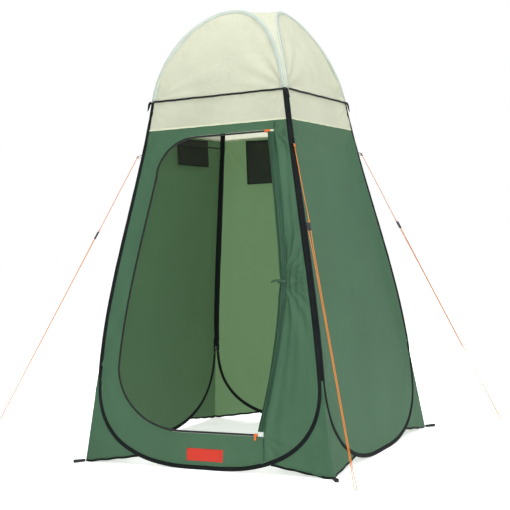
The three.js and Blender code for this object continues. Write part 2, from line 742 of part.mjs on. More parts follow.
function gusset() {
  const above = outerEdge.map((p) => p.z).filter((z) => z > HEM_RISE + 4 && z < gussetTop - 4)
  const heights = [CLOTH, HEM_RISE / 3, 2 * HEM_RISE / 3, HEM_RISE, ...above, gussetTop]
  const hemX = edgeX(outerEdge, HEM_RISE)
  return clothFromRows(heights.map((z) => {
    const crease = baseHalf + (halfWidth(gussetTop) - baseHalf) * z / gussetTop
    const hem = baseHalf - CORNER_TIP + (hemX - baseHalf + CORNER_TIP) * z / HEM_RISE
    const x = z < HEM_RISE ? hem : edgeX(outerEdge, z)
    return [new THREE.Vector3(x, -halfWidth(z), z), new THREE.Vector3(crease, -crease, z),
      new THREE.Vector3(halfWidth(z), -x, z)]
  }))
}

for (const [turn, name] of ['front_right', 'back_right', 'back_left', 'front_left'].entries()) {
  const mesh = add(tent, `gusset_${name}`, gusset(), greenCloth)
  mesh.rotation.z = turn * Math.PI / 2
}

// A peg loop is a strip of webbing on edge, bent round into an eye for the peg.
const cornerReach = baseHalf * Math.SQRT2
const loopStart = cornerReach + CLOTH + FIT_GAP

function pegLoop() {
  const teardrop = (shape, eye, root, start, end) => {
    shape.moveTo(start, -root)
    shape.lineTo(end - eye, -eye)
    shape.absarc(end - eye, 0, eye, -Math.PI / 2, Math.PI / 2, false)
    shape.lineTo(start, root)
    shape.closePath()
    return shape
  }
  const outline = teardrop(new THREE.Shape(), LOOP_EYE_WIDTH / 2 + LOOP_WEBBING,
    LOOP_ROOT_WIDTH / 2, 0, LOOP_LENGTH)
  const eye = teardrop(new THREE.Path(), LOOP_EYE_WIDTH / 2,
    LOOP_ROOT_WIDTH / 2 - LOOP_WEBBING, 3 * LOOP_WEBBING, LOOP_LENGTH - LOOP_WEBBING)
  outline.holes.push(eye)
  const loop = new THREE.ExtrudeGeometry(outline,
    { depth: LOOP_HEIGHT, steps: 1, curveSegments: 8, bevelEnabled: false })
  return loop.translate(loopStart, 0, 0)
}

for (const [name, corner] of Object.entries(corners)) {
  add(corner, `peg_loop_${name}`, pegLoop(), blackBinding)
}

// ---- Pockets and strap inside --------------------------------------------------------------

// A pocket hangs from the seam and is open at its top.
function pocket({ from, to, height }) {
  const top = seamHeight - POCKET_TOP_DROP
  const back = -halfWidth(seamHeight) + POCKET_STAND
  const bag = new THREE.BoxGeometry(to - from, POCKET_DEPTH, height)
  bag.translate((from + to) / 2, back + POCKET_DEPTH / 2, top - height / 2)
  const room = new THREE.BoxGeometry(
    to - from - 2 * POCKET_CLOTH, POCKET_DEPTH - 2 * POCKET_CLOTH, height)
  room.translate((from + to) / 2, back + POCKET_DEPTH / 2, top - height / 2 + POCKET_CLOTH)
  return cut(bag, room)
}

add(walls.left, 'pocket_left',
  pocket({ ...LEFT_POCKET, from: -LEFT_POCKET.to, to: -LEFT_POCKET.from }), blackMesh)
add(walls.back, 'pocket_back', pocket(BACK_POCKET), blackMesh)

// The hanging strap runs along the left wall, from corner to corner, in front of the pocket.
function strap() {
  const clear = -halfWidth(seamHeight) + POCKET_STAND + POCKET_DEPTH + 4
  const end = halfWidth(STRAP_HEIGHT) - HOOP_INSET - mouth - 3
  const points = [[-end, 1 - halfWidth(STRAP_HEIGHT) + 5], [-end + 40, clear],
    [end - 40, clear], [end, 1 - halfWidth(STRAP_HEIGHT) + 5]]
    .map(([x, y]) => new THREE.Vector3(x, y, STRAP_HEIGHT))
  const up = new THREE.Vector3(0, 0, 1)
  const frames = points.map((point, i) => {
    const along = points[Math.min(i + 1, 3)].clone().sub(points[Math.max(i - 1, 0)]).normalize()
    return { at: point, u: up.clone(), v: along.clone().cross(up).normalize() }
  })
  const [h, t] = [STRAP_WIDTH / 2, STRAP_THICKNESS / 2]
  return sweep(box2(-h, h, -t, t), frames)
}

add(walls.left, 'hanging_strap', strap(), blackBinding)

// ---- Guy lines -----------------------------------------------------------------------------

// In a corner group, a line runs from a knot at the corner out and down to the ground.
function guyLine(reach) {
  const start = new THREE.Vector3(halfWidth(GUY_HEIGHT) * Math.SQRT2 + GUY_STAND, 0, GUY_HEIGHT)
  const end = new THREE.Vector3(reach * Math.SQRT2, 0, CORD_DIAMETER)
  return { start, end, way: end.clone().sub(start) }
}

// A smooth curve stepped evenly from point to point, so that its bends keep their shape.
class RouteCurve extends THREE.CatmullRomCurve3 {
  getUtoTmapping(u) {
    return u
  }
}

function guyCord(reach) {
  const { start, way } = guyLine(reach)
  const points = CORD_ROUTE.map(([part, side]) => {
    const point = start.clone().addScaledVector(way, part)
    point.y = side
    return point
  })
  const route = new RouteCurve(points, false, 'centripetal')
  const section = new THREE.Shape(steps(8, (i) => new THREE.Vector2(
    CORD_DIAMETER / 2 * Math.cos(i * Math.PI / 4), CORD_DIAMETER / 2 * Math.sin(i * Math.PI / 4))))
  return new THREE.ExtrudeGeometry(section,
    { steps: 3 * (points.length - 1), extrudePath: route, bevelEnabled: false })
}

// A runner is a flat bar with a hole for each strand of the line.
function runner(reach) {
  const { start, way } = guyLine(reach)
  const bar = new THREE.BoxGeometry(RUNNER_LENGTH, RUNNER_WIDTH, RUNNER_THICKNESS)
  const holes = [-1, 1].map((side) => {
    const hole = new THREE.CylinderGeometry(CORD_HOLE / 2, CORD_HOLE / 2, 2 * RUNNER_LENGTH, 10)
    return hole.rotateZ(Math.PI / 2).translate(0, side * 5, 0)
  })
  const body = cut(bar, ...holes)
  const along = way.clone().normalize()
  const across = new THREE.Vector3(0, 1, 0)
  const basis = new THREE.Matrix4().makeBasis(along, across, along.clone().cross(across))
  body.applyMatrix4(basis)
  const at = start.clone().addScaledVector(way, RUNNER_PLACE)
  return body.translate(...at.toArray())
}

for (const [name, corner] of Object.entries(corners)) {
  add(corner, `guy_line_${name}`, guyCord(baseHalf + GROUND_REACH[name]), orangeCord)
  add(corner, `guy_runner_${name}`, runner(baseHalf + GROUND_REACH[name]), blackPlastic)
}

export default tent
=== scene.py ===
import math
import bpy
import numpy as np
from mathutils import Matrix, Vector, noise


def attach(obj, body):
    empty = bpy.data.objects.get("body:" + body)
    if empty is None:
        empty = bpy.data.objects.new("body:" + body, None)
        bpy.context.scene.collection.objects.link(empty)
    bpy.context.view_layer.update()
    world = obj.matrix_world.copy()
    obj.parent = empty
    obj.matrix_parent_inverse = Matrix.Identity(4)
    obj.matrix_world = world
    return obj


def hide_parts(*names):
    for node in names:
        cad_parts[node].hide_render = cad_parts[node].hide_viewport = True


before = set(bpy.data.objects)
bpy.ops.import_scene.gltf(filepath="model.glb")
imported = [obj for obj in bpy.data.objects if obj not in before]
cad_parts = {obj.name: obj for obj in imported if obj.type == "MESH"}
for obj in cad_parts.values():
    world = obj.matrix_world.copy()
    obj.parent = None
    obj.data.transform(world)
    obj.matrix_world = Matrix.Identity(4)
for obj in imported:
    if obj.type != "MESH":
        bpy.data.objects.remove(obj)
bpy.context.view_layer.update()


# ---- Camera ----
# It stands four and a half metres in front of the door and well to its right, at hip height,
# and is tilted a little clockwise.

CAMERA_PLACE = Vector((2.2753, -4.5223, 0.9768))
CAMERA_ROUND = math.radians(26.83)
CAMERA_DOWN = math.radians(0.92)
CAMERA_ROLL = math.radians(-2.16)

camera_data = bpy.data.cameras.new("camera")
camera_data.sensor_width = 36
camera_data.lens = 75.48
camera = bpy.data.objects.new("camera", camera_data)
bpy.context.scene.collection.objects.link(camera)
bpy.context.scene.camera = camera
back = Vector((math.sin(CAMERA_ROUND) * math.cos(CAMERA_DOWN),
               -math.cos(CAMERA_ROUND) * math.cos(CAMERA_DOWN), math.sin(CAMERA_DOWN)))
level = Vector((0, 0, 1)).cross(back).normalized()
upright = back.cross(level)
sideways = level * math.cos(CAMERA_ROLL) + upright * math.sin(CAMERA_ROLL)
upwards = upright * math.cos(CAMERA_ROLL) - level * math.sin(CAMERA_ROLL)
camera.matrix_world = Matrix.Translation(CAMERA_PLACE) @ Matrix(
    (sideways, upwards, back)).transposed().to_4x4()


# ---- Guy lines ----
# Braided orange cord, 3 mm thick, one length to a corner: from its knot at the hoop down
# through the runner, round the ground peg and back up into the runner, where it is tied.
# Where it reaches the ground is assumed.

WALL_NAMES = ("front", "right", "back", "left")
# The tent's profile: height, half-width and the change of half-width with height.
PROFILE = ((0.0, 0.598, -0.1225), (0.4, 0.549, -0.085), (1.613, 0.342, -0.14),
           (2.018, 0.181, -0.67))


def half_width(height):
    height = np.asarray(height, float)
    width = np.zeros_like(height)
    for (z0, w0, lean0), (z1, w1, lean1) in zip(PROFILE, PROFILE[1:]):
        span = z1 - z0
        t = (height - z0) / span
        value = (w0 * (2 * t**3 - 3 * t**2 + 1) + lean0 * span * (t**3 - 2 * t**2 + t)
                 + w1 * (3 * t**2 - 2 * t**3) + lean1 * span * (t**3 - t**2))
        width = np.where((height >= z0) | (z0 == 0), value, width)
    return width


def unit(vectors):
    return vectors / np.linalg.norm(vectors, axis=-1, keepdims=True)


def turned(points, degrees):
    """Points turned about the tent's upright middle line."""
    c, s = math.cos(math.radians(degrees)), math.sin(math.radians(degrees))
    x, y = points[..., 0], points[..., 1]
    return np.stack([c * x - s * y, s * x + c * y, points[..., 2]], -1)


def make_piece(name, points, faces, uv=None, smooth=True):
    mesh = bpy.data.meshes.new(name)
    mesh.from_pydata(np.asarray(points).reshape(-1, 3).tolist(), [], faces)
    if uv is not None:
        layer = mesh.uv_layers.new(name="cloth")
        corner = np.zeros(len(mesh.loops), np.int64)
        mesh.loops.foreach_get("vertex_index", corner)
        layer.data.foreach_set("uv", np.asarray(uv, float).reshape(-1, 2)[corner].ravel())
    mesh.polygons.foreach_set("use_smooth", [smooth] * len(mesh.polygons))
    piece = bpy.data.objects.new(name, mesh)
    bpy.context.scene.collection.objects.link(piece)
    return piece


def grid_faces(rows, columns, first=0):
    """Faces of a sheet of rows by columns of points."""
    a = first + (np.arange(rows - 1)[:, None] * columns + np.arange(columns - 1)).ravel()
    return np.stack([a, a + 1, a + columns + 1, a + columns], -1).tolist()


def ring_faces(rows, count, closed):
    """Faces of a tube of rows of count points each, with its ends filled unless closed."""
    faces = []
    for i in range(rows if closed else rows - 1):
        here, following = i * count, (i + 1) % rows * count
        for j in range(count):
            k = (j + 1) % count
            faces.append((here + j, here + k, following + k, following + j))
    if not closed:
        end = (rows - 1) * count
        faces += [tuple(range(count))[::-1], tuple(range(end, end + count))]
    return faces


def distances(path):
    """How far along a path each point is."""
    steps = np.linalg.norm(np.diff(path, axis=0), axis=1)
    return np.concatenate([[0], np.cumsum(steps)])


def swept(name, path, across, outwards, section, closed=False, widths=1.0):
    """A section of (across, outwards) offsets carried along a path, wider or narrower."""
    section = np.asarray(section, float)
    widths = np.broadcast_to(widths, len(path))[:, None, None]
    points = (path[:, None] + widths * section[None, :, :1] * across[:, None]
              + section[None, :, 1:] * outwards[:, None])
    along = distances(path)
    around = distances(section)
    uv = np.stack(np.broadcast_arrays(along[:, None], around[None]), -1)
    return make_piece(name, points, ring_faces(len(path), len(section), closed), uv)


def turned_sweep(name, degrees, path, across, outwards, section, widths=1.0):
    """The same, turned about the tent's upright middle line."""
    return swept(name, turned(path, degrees), turned(across, degrees),
                 turned(outwards, degrees), section, widths=widths)


def smooth_path(points, parts):
    """A centripetal Catmull-Rom curve through the points, in parts to each stretch."""
    points = [Vector(p) for p in points]
    points = [2 * points[0] - points[1], *points, 2 * points[-1] - points[-2]]
    path = []
    for a, b, c, d in zip(points, points[1:], points[2:], points[3:]):
        t1 = max((b - a).length, 1e-6) ** 0.5
        t2 = t1 + max((c - b).length, 1e-6) ** 0.5
        t3 = t2 + max((d - c).length, 1e-6) ** 0.5
        for i in range(parts):
            t = t1 + (t2 - t1) * i / parts
            ab, bc = a.lerp(b, t / t1), b.lerp(c, (t - t1) / (t2 - t1))
            cd = c.lerp(d, (t - t2) / (t3 - t2))
            path.append(ab.lerp(bc, t / t2).lerp(bc.lerp(cd, (t - t1) / (t3 - t1)),
                                                 (t - t1) / (t2 - t1)))
    path.append(points[-2])
    return np.array(path)


def carried_frames(path):
    """Two directions across a path, carried along it without twist."""
    along = unit(np.gradient(path, axis=0))
    side = np.zeros_like(path)
    start = np.cross(along[0], (0.3, 0.2, 1.0))
    side[0] = start / np.linalg.norm(start)
    for i in range(1, len(path)):
        kept = side[i - 1] - along[i] * (side[i - 1] @ along[i])
        side[i] = kept / np.linalg.norm(kept)
    return side, np.cross(along, side)


def flat_section(half, thick):
    return [(-half, -thick), (half, -thick), (half, thick), (-half, thick)]


def edgewise(line):
    """The upright way and the way outwards of a tape that stands on its edge along a line."""
    upward = np.tile((0.0, 0.0, 1.0), (len(line), 1))
    return upward, np.cross(unit(np.gradient(line, axis=0)), upward)


def round_section(radius, sides):
    angles = np.arange(sides) / sides * 2 * math.pi
    return np.stack([radius * np.cos(angles), radius * np.sin(angles)], -1)


def tube(name, path, radius, sides=10):
    across, outwards = carried_frames(path)
    return swept(name, path, across, outwards, round_section(radius, sides))


def new_material(name):
    material = bpy.data.materials.new(name)
    material.use_nodes = True
    tree = material.node_tree
    return material, tree, tree.nodes["Principled BSDF"]


def add_node(tree, kind, **values):
    """A node with its settings and the values or links of its inputs."""
    made = tree.nodes.new("ShaderNode" + kind)
    for name, value in values.items():
        if hasattr(made, name):
            setattr(made, name, value)
            continue
        socket = made.inputs[int(name[1:]) if name[1:].isdigit() else name.replace("_", " ")]
        if isinstance(value, bpy.types.NodeSocket):
            tree.links.new(value, socket)
        else:
            socket.default_value = value
    return made


def ramp(tree, factor, dark, light, low=0.0, high=1.0):
    """A colour between two, as the factor goes from low to high."""
    tint = add_node(tree, "ValToRGB", Fac=factor)
    for element, place, colour in zip(tint.color_ramp.elements, (low, high), (dark, light)):
        element.position = place
        element.color = colour
    return tint


def surface(tree, shader, colour, normal, roughness):
    tree.links.new(colour, shader.inputs["Base Color"])
    tree.links.new(normal, shader.inputs["Normal"])
    shader.inputs["Roughness"].default_value = roughness


def dress(piece, material, body, slot, *nodes):
    """Gives a piece its material, the body it rides on and the nodes it replaces; its slot is not
    used.
    """
    piece.data.materials.append(material)
    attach(piece, body)
    if nodes:
        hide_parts(*nodes)


def thread_waves(tree, pitch_along, pitch_across):
    """Two crossing sets of fine ridges on the piece's own cloth coordinates."""
    place = add_node(tree, "TexCoord").outputs["UV"]
    ridges = []
    for direction, pitch in (("X", pitch_along), ("Y", pitch_across)):
        wave = add_node(tree, "TexWave", wave_type="BANDS", bands_direction=direction,
                        Vector=place, Scale=1 / (pitch * 20))
        ridges.append(wave.outputs["Fac"])
    both = add_node(tree, "Math", operation="ADD", i0=ridges[0], i1=ridges[1])
    return place, both.outputs[0]


def braid_material(name, colour, flecks):
    """Braided cord: helical ridges of yarn with a paler fleck in each."""
    material, tree, shader = new_material(name)
    place = add_node(tree, "TexCoord").outputs["UV"]
    turned_place = add_node(tree, "Mapping", Vector=place, Rotation=(0, 0, 0.7),
                            Scale=(900, 900, 1))
    yarn = add_node(tree, "TexWave", wave_type="BANDS", Vector=turned_place.outputs[0],
                    Scale=0.3, Distortion=0.6)
    tint = ramp(tree, yarn.outputs["Fac"], (*colour, 1), (*flecks, 1))
    lift = add_node(tree, "Bump", Height=yarn.outputs["Fac"], Strength=0.5, Distance=0.0003)
    surface(tree, shader, tint.outputs[0], lift.outputs[0], 0.6)
    return material


CORD = 0.003
GUY_HEIGHT = 1.370
GUY_STAND = 0.014
CORNERS = {"front_right": (-45, 0.765), "back_right": (45, 0.905),
           "back_left": (135, 0.905), "front_left": (225, 0.950)}
RUNNER_PLACE = 0.26
# Each point is its part of the way down to the ground, and how far aside it lies.
CORD_ROUTE = (
    (0, 0), (0.06, 0.0003), (0.14, 0.0018), (0.2, 0.004), (0.24, 0.005), (0.26, 0.005),
    (0.28, 0.005), (0.34, 0.0034), (0.45, 0.0027), (0.58, 0.0026), (0.72, 0.0026),
    (0.86, 0.0026), (0.95, 0.003), (0.984, 0.0052), (0.994, 0.0046), (0.998, 0),
    (0.994, -0.0046), (0.984, -0.0052), (0.95, -0.003), (0.86, -0.0026), (0.72, -0.0026),
    (0.58, -0.0026), (0.45, -0.0027), (0.34, -0.0034), (0.28, -0.005), (0.262, -0.005))

cord_material = braid_material("braided_cord", (0.66, 0.175, 0.012), (0.80, 0.26, 0.025))
guy_start = np.array((float(half_width(GUY_HEIGHT)) * math.sqrt(2) + GUY_STAND, 0, GUY_HEIGHT))
guy_ways = {}
guy_lines = {}
for corner, (degrees, reach) in CORNERS.items():
    way = np.array((reach * math.sqrt(2), 0, CORD)) - guy_start
    guy_ways[corner] = way
    route = [guy_start + way * part + np.array((0, side, 0)) for part, side in CORD_ROUTE]
    path = turned(smooth_path(route, 8), degrees)
    line = tube("guy_cord_" + corner, path, CORD / 2)
    dress(line, cord_material, "tent", "orange_cord", "guy_line_" + corner)
    guy_lines[corner] = (line, path)


# ---- Knots and tabs of the guy lines ----
# Each line is tied with an overhand knot to a short tab of black webbing, which is sewn into
# the binding at the corner of the tent. A second, smaller knot sits at the runner.

KNOT_RADIUS = 0.0042
TAB_WIDTH = 0.012
TAB_THICKNESS = 0.0018


def webbing_material(name, colour, rib=0.0016):
    """Narrow woven tape: ribs across it and a slight mottle from wear."""
    material, tree, shader = new_material(name)
    threads = thread_waves(tree, rib, rib * 2.2)[1]
    worn = add_node(tree, "TexNoise", Vector=add_node(tree, "TexCoord").outputs["Object"],
                    Scale=35, Detail=4)
    tint = ramp(tree, worn.outputs["Fac"], (*(c * 0.7 for c in colour), 1),
                (*(c * 1.45 for c in colour), 1), 0.3, 0.75)
    lift = add_node(tree, "Bump", Height=threads, Strength=0.35, Distance=0.0004)
    surface(tree, shader, tint.outputs[0], lift.outputs[0], 0.75)
    shader.inputs["Specular IOR Level"].default_value = 0.3
    return material


def knot_path(centre, along, size):
    """A closed overhand knot's line, its long way along the cord."""
    along = Vector(along).normalized()
    side = along.cross(Vector((0, 0, 1))).normalized()
    up = side.cross(along)
    points = []
    for i in range(61):
        t = i / 60 * 2 * math.pi
        a = (math.sin(t) + 2 * math.sin(2 * t)) * size
        b = (math.cos(t) - 2 * math.cos(2 * t)) * size
        c = -math.sin(3 * t) * size
        points.append(Vector(centre) + side * a * 0.55 + along * b * 0.9 + up * c * 0.6)
    return np.array(points)


tab_material = webbing_material("black_webbing", (0.012, 0.014, 0.016))
for corner, (degrees, _) in CORNERS.items():
    way = guy_ways[corner] / np.linalg.norm(guy_ways[corner])
    for place, size, label in ((guy_start + way * 0.007, KNOT_RADIUS * 0.55, "top"),
                               (guy_start + guy_ways[corner] * RUNNER_PLACE - way * 0.026
                                + np.array((0, 0.0045, 0)), KNOT_RADIUS * 0.42, "low")):
        knot = tube(f"guy_knot_{label}_{corner}",
                    turned(knot_path(place, way, size), degrees), CORD * 0.46, 8)
        dress(knot, cord_material, "tent", "orange_cord")
    root = np.array((float(half_width(GUY_HEIGHT)) * math.sqrt(2) - 0.012, 0, GUY_HEIGHT + 0.004))
    tip = guy_start + way * 0.004
    strand = smooth_path([root, root + (tip - root) * 0.5 + np.array((0, 0, 0.002)), tip,
                          tip + way * 0.003 - np.array((0, 0, 0.003)),
                          tip - np.array((0.003, 0, 0.006)),
                          root + (tip - root) * 0.4 - np.array((0, 0, 0.009)),
                          root - np.array((0, 0, 0.012))], 5)
    across = np.tile((0.0, 1.0, 0.0), (len(strand), 1))
    outwards = np.cross(unit(np.gradient(strand, axis=0)), across)
    w, t = TAB_WIDTH / 2, TAB_THICKNESS / 2
    tab = turned_sweep("guy_tab_" + corner, degrees, strand, across, outwards,
                       flat_section(w, t))
    dress(tab, tab_material, "tent", "black_binding")
    line, path = guy_lines[corner]


# ---- Runners ----
# A flat black moulded bar with a hole for each strand: it is slid along the line to tighten
# it. Its ends are rounded and its face is hollowed for the thumb.

RUNNER_SIZE = (0.038, 0.020, 0.007)
RUNNER_BEVEL = 0.0025


def plastic_material(name, colour, roughness):
    """Moulded plastic: a faint mould texture and a slight change of gloss."""
    material, tree, shader = new_material(name)
    place = add_node(tree, "TexCoord").outputs["Object"]
    grain = add_node(tree, "TexNoise", Vector=place, Scale=900, Detail=3)
    cloud = add_node(tree, "TexNoise", Vector=place, Scale=60, Detail=2)
    tint = ramp(tree, cloud.outputs["Fac"], (*(c * 0.85 for c in colour), 1),
                (*(min(1, c * 1.12) for c in colour), 1))
    gloss = add_node(tree, "MapRange", Value=cloud.outputs["Fac"], To_Min=roughness - 0.06,
                     To_Max=roughness + 0.08)
    lift = add_node(tree, "Bump", Height=grain.outputs["Fac"], Strength=0.15, Distance=0.0002)
    tree.links.new(tint.outputs[0], shader.inputs["Base Color"])
    tree.links.new(gloss.outputs[0], shader.inputs["Roughness"])
    tree.links.new(lift.outputs[0], shader.inputs["Normal"])
    return material


def in_edit_mode(piece):
    bpy.ops.object.select_all(action="DESELECT")
    bpy.context.view_layer.objects.active = piece
    piece.select_set(True)
    bpy.ops.object.mode_set(mode="EDIT")


def select_faces(piece, wanted):
    """Selects the faces that wanted says yes to, from object mode's data."""
    bpy.ops.object.mode_set(mode="EDIT")
    bpy.ops.mesh.select_all(action="DESELECT")
    bpy.ops.object.mode_set(mode="OBJECT")
    for face in piece.data.polygons:
        face.select = bool(wanted(face))
    bpy.ops.object.mode_set(mode="EDIT")
    bpy.ops.mesh.select_mode(type="FACE")


def apply_modifier(piece, kind, **settings):
    bpy.ops.object.select_all(action="DESELECT")
    bpy.context.view_layer.objects.active = piece
    piece.select_set(True)
    modifier = piece.modifiers.new(kind.lower(), kind)
    for name, value in settings.items():
        setattr(modifier, name, value)
    bpy.ops.object.modifier_apply(modifier=modifier.name)


def place_mesh(piece, basis, origin):
    """Turns and moves the mesh, so that the object itself stays at the origin."""
    piece.data.transform(Matrix.Translation(Vector(origin)) @ Matrix(
        [Vector(b) for b in basis]).transposed().to_4x4())
    piece.data.update()


def named_cube(name, placing):
    """A cube of side 1 about the origin, with its mesh brought to size and place."""
    bpy.ops.object.select_all(action="DESELECT")
    bpy.ops.mesh.primitive_cube_add(size=1, location=(0, 0, 0))
    cube = bpy.context.active_object
    cube.name = cube.data.name = name
    cube.data.transform(placing)
    return cube


def moulded_bar(name, size, bevel):
    bar = named_cube(name, Matrix.Diagonal((*size, 1)))
    in_edit_mode(bar)
    select_faces(bar, lambda face: abs(face.normal.z) > 0.9)
    bpy.ops.mesh.inset(thickness=min(size[:2]) * 0.22, depth=-size[2] * 0.16)
    bpy.ops.object.mode_set(mode="OBJECT")
    apply_modifier(bar, "BEVEL", width=bevel, segments=3, limit_method="ANGLE",
                   angle_limit=math.radians(50))
    bpy.ops.object.shade_smooth_by_angle(angle=math.radians(40))
    return bar


runner_material = plastic_material("black_moulding", (0.014, 0.015, 0.017), 0.42)
for corner, (degrees, _) in CORNERS.items():
    along = unit(guy_ways[corner])
    across = np.array((0.0, 1.0, 0.0))
    middle = guy_start + guy_ways[corner] * RUNNER_PLACE
    runner = moulded_bar("line_runner_" + corner, RUNNER_SIZE, RUNNER_BEVEL)
    basis = [turned(v, degrees) for v in (along, across, np.cross(along, across))]
    place_mesh(runner, basis, turned(middle, degrees))
    dress(runner, runner_material, "tent", "black_plastic", "guy_runner_" + corner)


# ---- Hoops and their bindings ----
# Each wall hangs in a closed hoop of spring steel. From the ground to the ring the hoop runs
# in a folded black tape that is sewn to the cloth's edge with one row of stitches.

FOOT_FLAT = 0.060
WIRE_FOOT = 0.0055
KNEE_HEIGHT = 0.4
RING_HEIGHT = 1.613
SEAM_HEIGHT = 1.480
CROWN_HEIGHT = 2.013
HOOP_INSET = 0.0105
LOWER_SQUARENESS = 2.3
ARCH_SQUARENESS = 2.2
BINDING_ROUND = 0.0044
BINDING_MOUTH = 0.0105
RING_LEAN = -0.14


def wall_point(x, z, stand=0.0, turn=0):
    """Points of a wall's surface, stood off outwards; turn counts quarter turns from the front."""
    x, z, stand = np.broadcast_arrays(*(np.asarray(v, float) for v in (x, z, stand)))
    lean = (half_width(z + 1e-3) - half_width(z - 1e-3)) / 2e-3
    slope = np.sqrt(1 + lean**2)
    points = np.stack([x, -half_width(z) - stand / slope, z - stand * lean / slope], -1)
    return turned(points, 90 * turn)


def wall_outwards(z):
    lean = (half_width(z + 1e-3) - half_width(z - 1e-3)) / 2e-3
    return unit(np.stack([np.zeros_like(lean), -np.ones_like(lean), -lean], -1))


def lower_run(round_steps=44, side_steps=70):
    """The hoop's line on the right half, from the foot's middle up to the ring, as (x, z)."""
    angle = np.linspace(0, math.pi / 2, round_steps + 1)
    power = 2 / LOWER_SQUARENESS
    z = WIRE_FOOT + (KNEE_HEIGHT - WIRE_FOOT) * (1 - np.cos(angle) ** power)
    x = FOOT_FLAT + (half_width(z) - HOOP_INSET - FOOT_FLAT) * np.sin(angle) ** power
    side = np.linspace(KNEE_HEIGHT, RING_HEIGHT, side_steps + 1)[1:]
    foot = np.linspace(0, FOOT_FLAT, 6)[:-1]
    x = np.concatenate([foot, x, half_width(side) - HOOP_INSET])
    z = np.concatenate([np.full(5, WIRE_FOOT), z, side])
    return np.stack([x, z], -1)


def arch_run(steps=60):
    """The same from the ring up to the crown."""
    angle = np.linspace(0, math.pi / 2, steps + 1)
    power = 2 / ARCH_SQUARENESS
    z = RING_HEIGHT + (CROWN_HEIGHT - RING_HEIGHT) * np.sin(angle) ** power
    reach = half_width(RING_HEIGHT) - HOOP_INSET + RING_LEAN * (z - RING_HEIGHT)
    return np.stack([reach * np.cos(angle).clip(0) ** power, z], -1)


def mirrored(run):
    return (run * (-1, 1))[::-1]


def run_frames(run):
    """Path on the front wall, with the ways into the cloth and out of the tent."""
    path = wall_point(run[:, 0], run[:, 1])
    along = unit(np.gradient(path, axis=0))
    across = unit(np.cross(wall_outwards(path[:, 2]), along))
    return path, across, np.cross(along, across)


lower_hoop = lower_run()
arch_hoop = arch_run()
whole_lower = np.concatenate([mirrored(lower_hoop)[:-1], lower_hoop])
whole_arch = np.concatenate([arch_hoop, mirrored(arch_hoop)[1:]])


def spring_steel():
    material, tree, shader = new_material("spring_steel")
    place = add_node(tree, "TexCoord").outputs["Object"]
    stains = add_node(tree, "TexNoise", Vector=place, Scale=20, Detail=5)
    gloss = add_node(tree, "MapRange", Value=stains.outputs["Fac"], To_Min=0.22, To_Max=0.42)
    tree.links.new(gloss.outputs[0], shader.inputs["Roughness"])
    shader.inputs["Base Color"].default_value = (0.38, 0.39, 0.41, 1)
    shader.inputs["Metallic"].default_value = 1
    return material


def stitched_tape(name, colour, thread, stitch_row, low=0.75, high=1.5):
    """Ribbed binding tape with a row of stitches along it at a distance round its section."""
    material, tree, shader = new_material(name)
    place = add_node(tree, "TexCoord").outputs["UV"]
    parts = add_node(tree, "SeparateXYZ", Vector=place)
    rib = add_node(tree, "TexWave", wave_type="BANDS", bands_direction="X", Vector=place,
                   Scale=40)
    cloud = add_node(tree, "TexNoise", Vector=add_node(tree, "TexCoord").outputs["Object"],
                     Scale=16, Detail=5)
    tint = ramp(tree, cloud.outputs["Fac"], (*(c * low for c in colour), 1),
                (*(c * high for c in colour), 1), 0.3, 0.72)
    dash = add_node(tree, "Math", operation="SINE",
                    i0=add_node(tree, "Math", operation="MULTIPLY", i0=parts.outputs[0],
                                i1=2 * math.pi / 0.006).outputs[0])
    on_dash = add_node(tree, "Math", operation="GREATER_THAN", i0=dash.outputs[0], i1=-0.3)
    away = add_node(tree, "Math", operation="ABSOLUTE",
                    i0=add_node(tree, "Math", operation="SUBTRACT", i0=parts.outputs[1],
                                i1=stitch_row).outputs[0])
    on_row = add_node(tree, "Math", operation="LESS_THAN", i0=away.outputs[0], i1=0.0005)
    stitch = add_node(tree, "Math", operation="MULTIPLY", i0=on_dash.outputs[0],
                      i1=on_row.outputs[0])
    shown = add_node(tree, "Mix", data_type="RGBA", i0=stitch.outputs[0], i6=tint.outputs[0],
                     i7=(*thread, 1))
    height = add_node(tree, "Math", operation="ADD", i0=rib.outputs["Fac"],
                      i1=stitch.outputs[0])
    lift = add_node(tree, "Bump", Height=height.outputs[0], Strength=0.4, Distance=0.0004)
    surface(tree, shader, shown.outputs[2], lift.outputs[0], 0.7)
    shader.inputs["Specular IOR Level"].default_value = 0.15
    return material


def folded_section(mouth, radius):
    """A tape folded round the wire and closed on the cloth: round outside, thin at the mouth."""
    bend = np.radians(np.linspace(90, 270, 9))
    shell = [(radius * math.cos(a), radius * math.sin(a)) for a in bend]
    groove = [(mouth * 0.45, 0.0030), (mouth * 0.7, 0.0019), (mouth * 0.76, 0.0014),
              (mouth * 0.82, 0.0018), (mouth, 0.0014)]
    under = [(u, -v) for u, v in groove]
    return [*shell, *under, *groove[::-1]]


def puckered(path, across, outwards, amount, pitch):
    """Lets a tape wander a little in and out, as a sewn tape does."""
    along = distances(path) / pitch
    drift = np.array([noise.noise(Vector((s, 3.7, 0))) for s in along])
    stand = np.array([noise.noise(Vector((s * 1.7, 9.1, 2))) for s in along])
    return path + amount * (drift[:, None] * across + 0.5 * stand[:, None] * outwards)


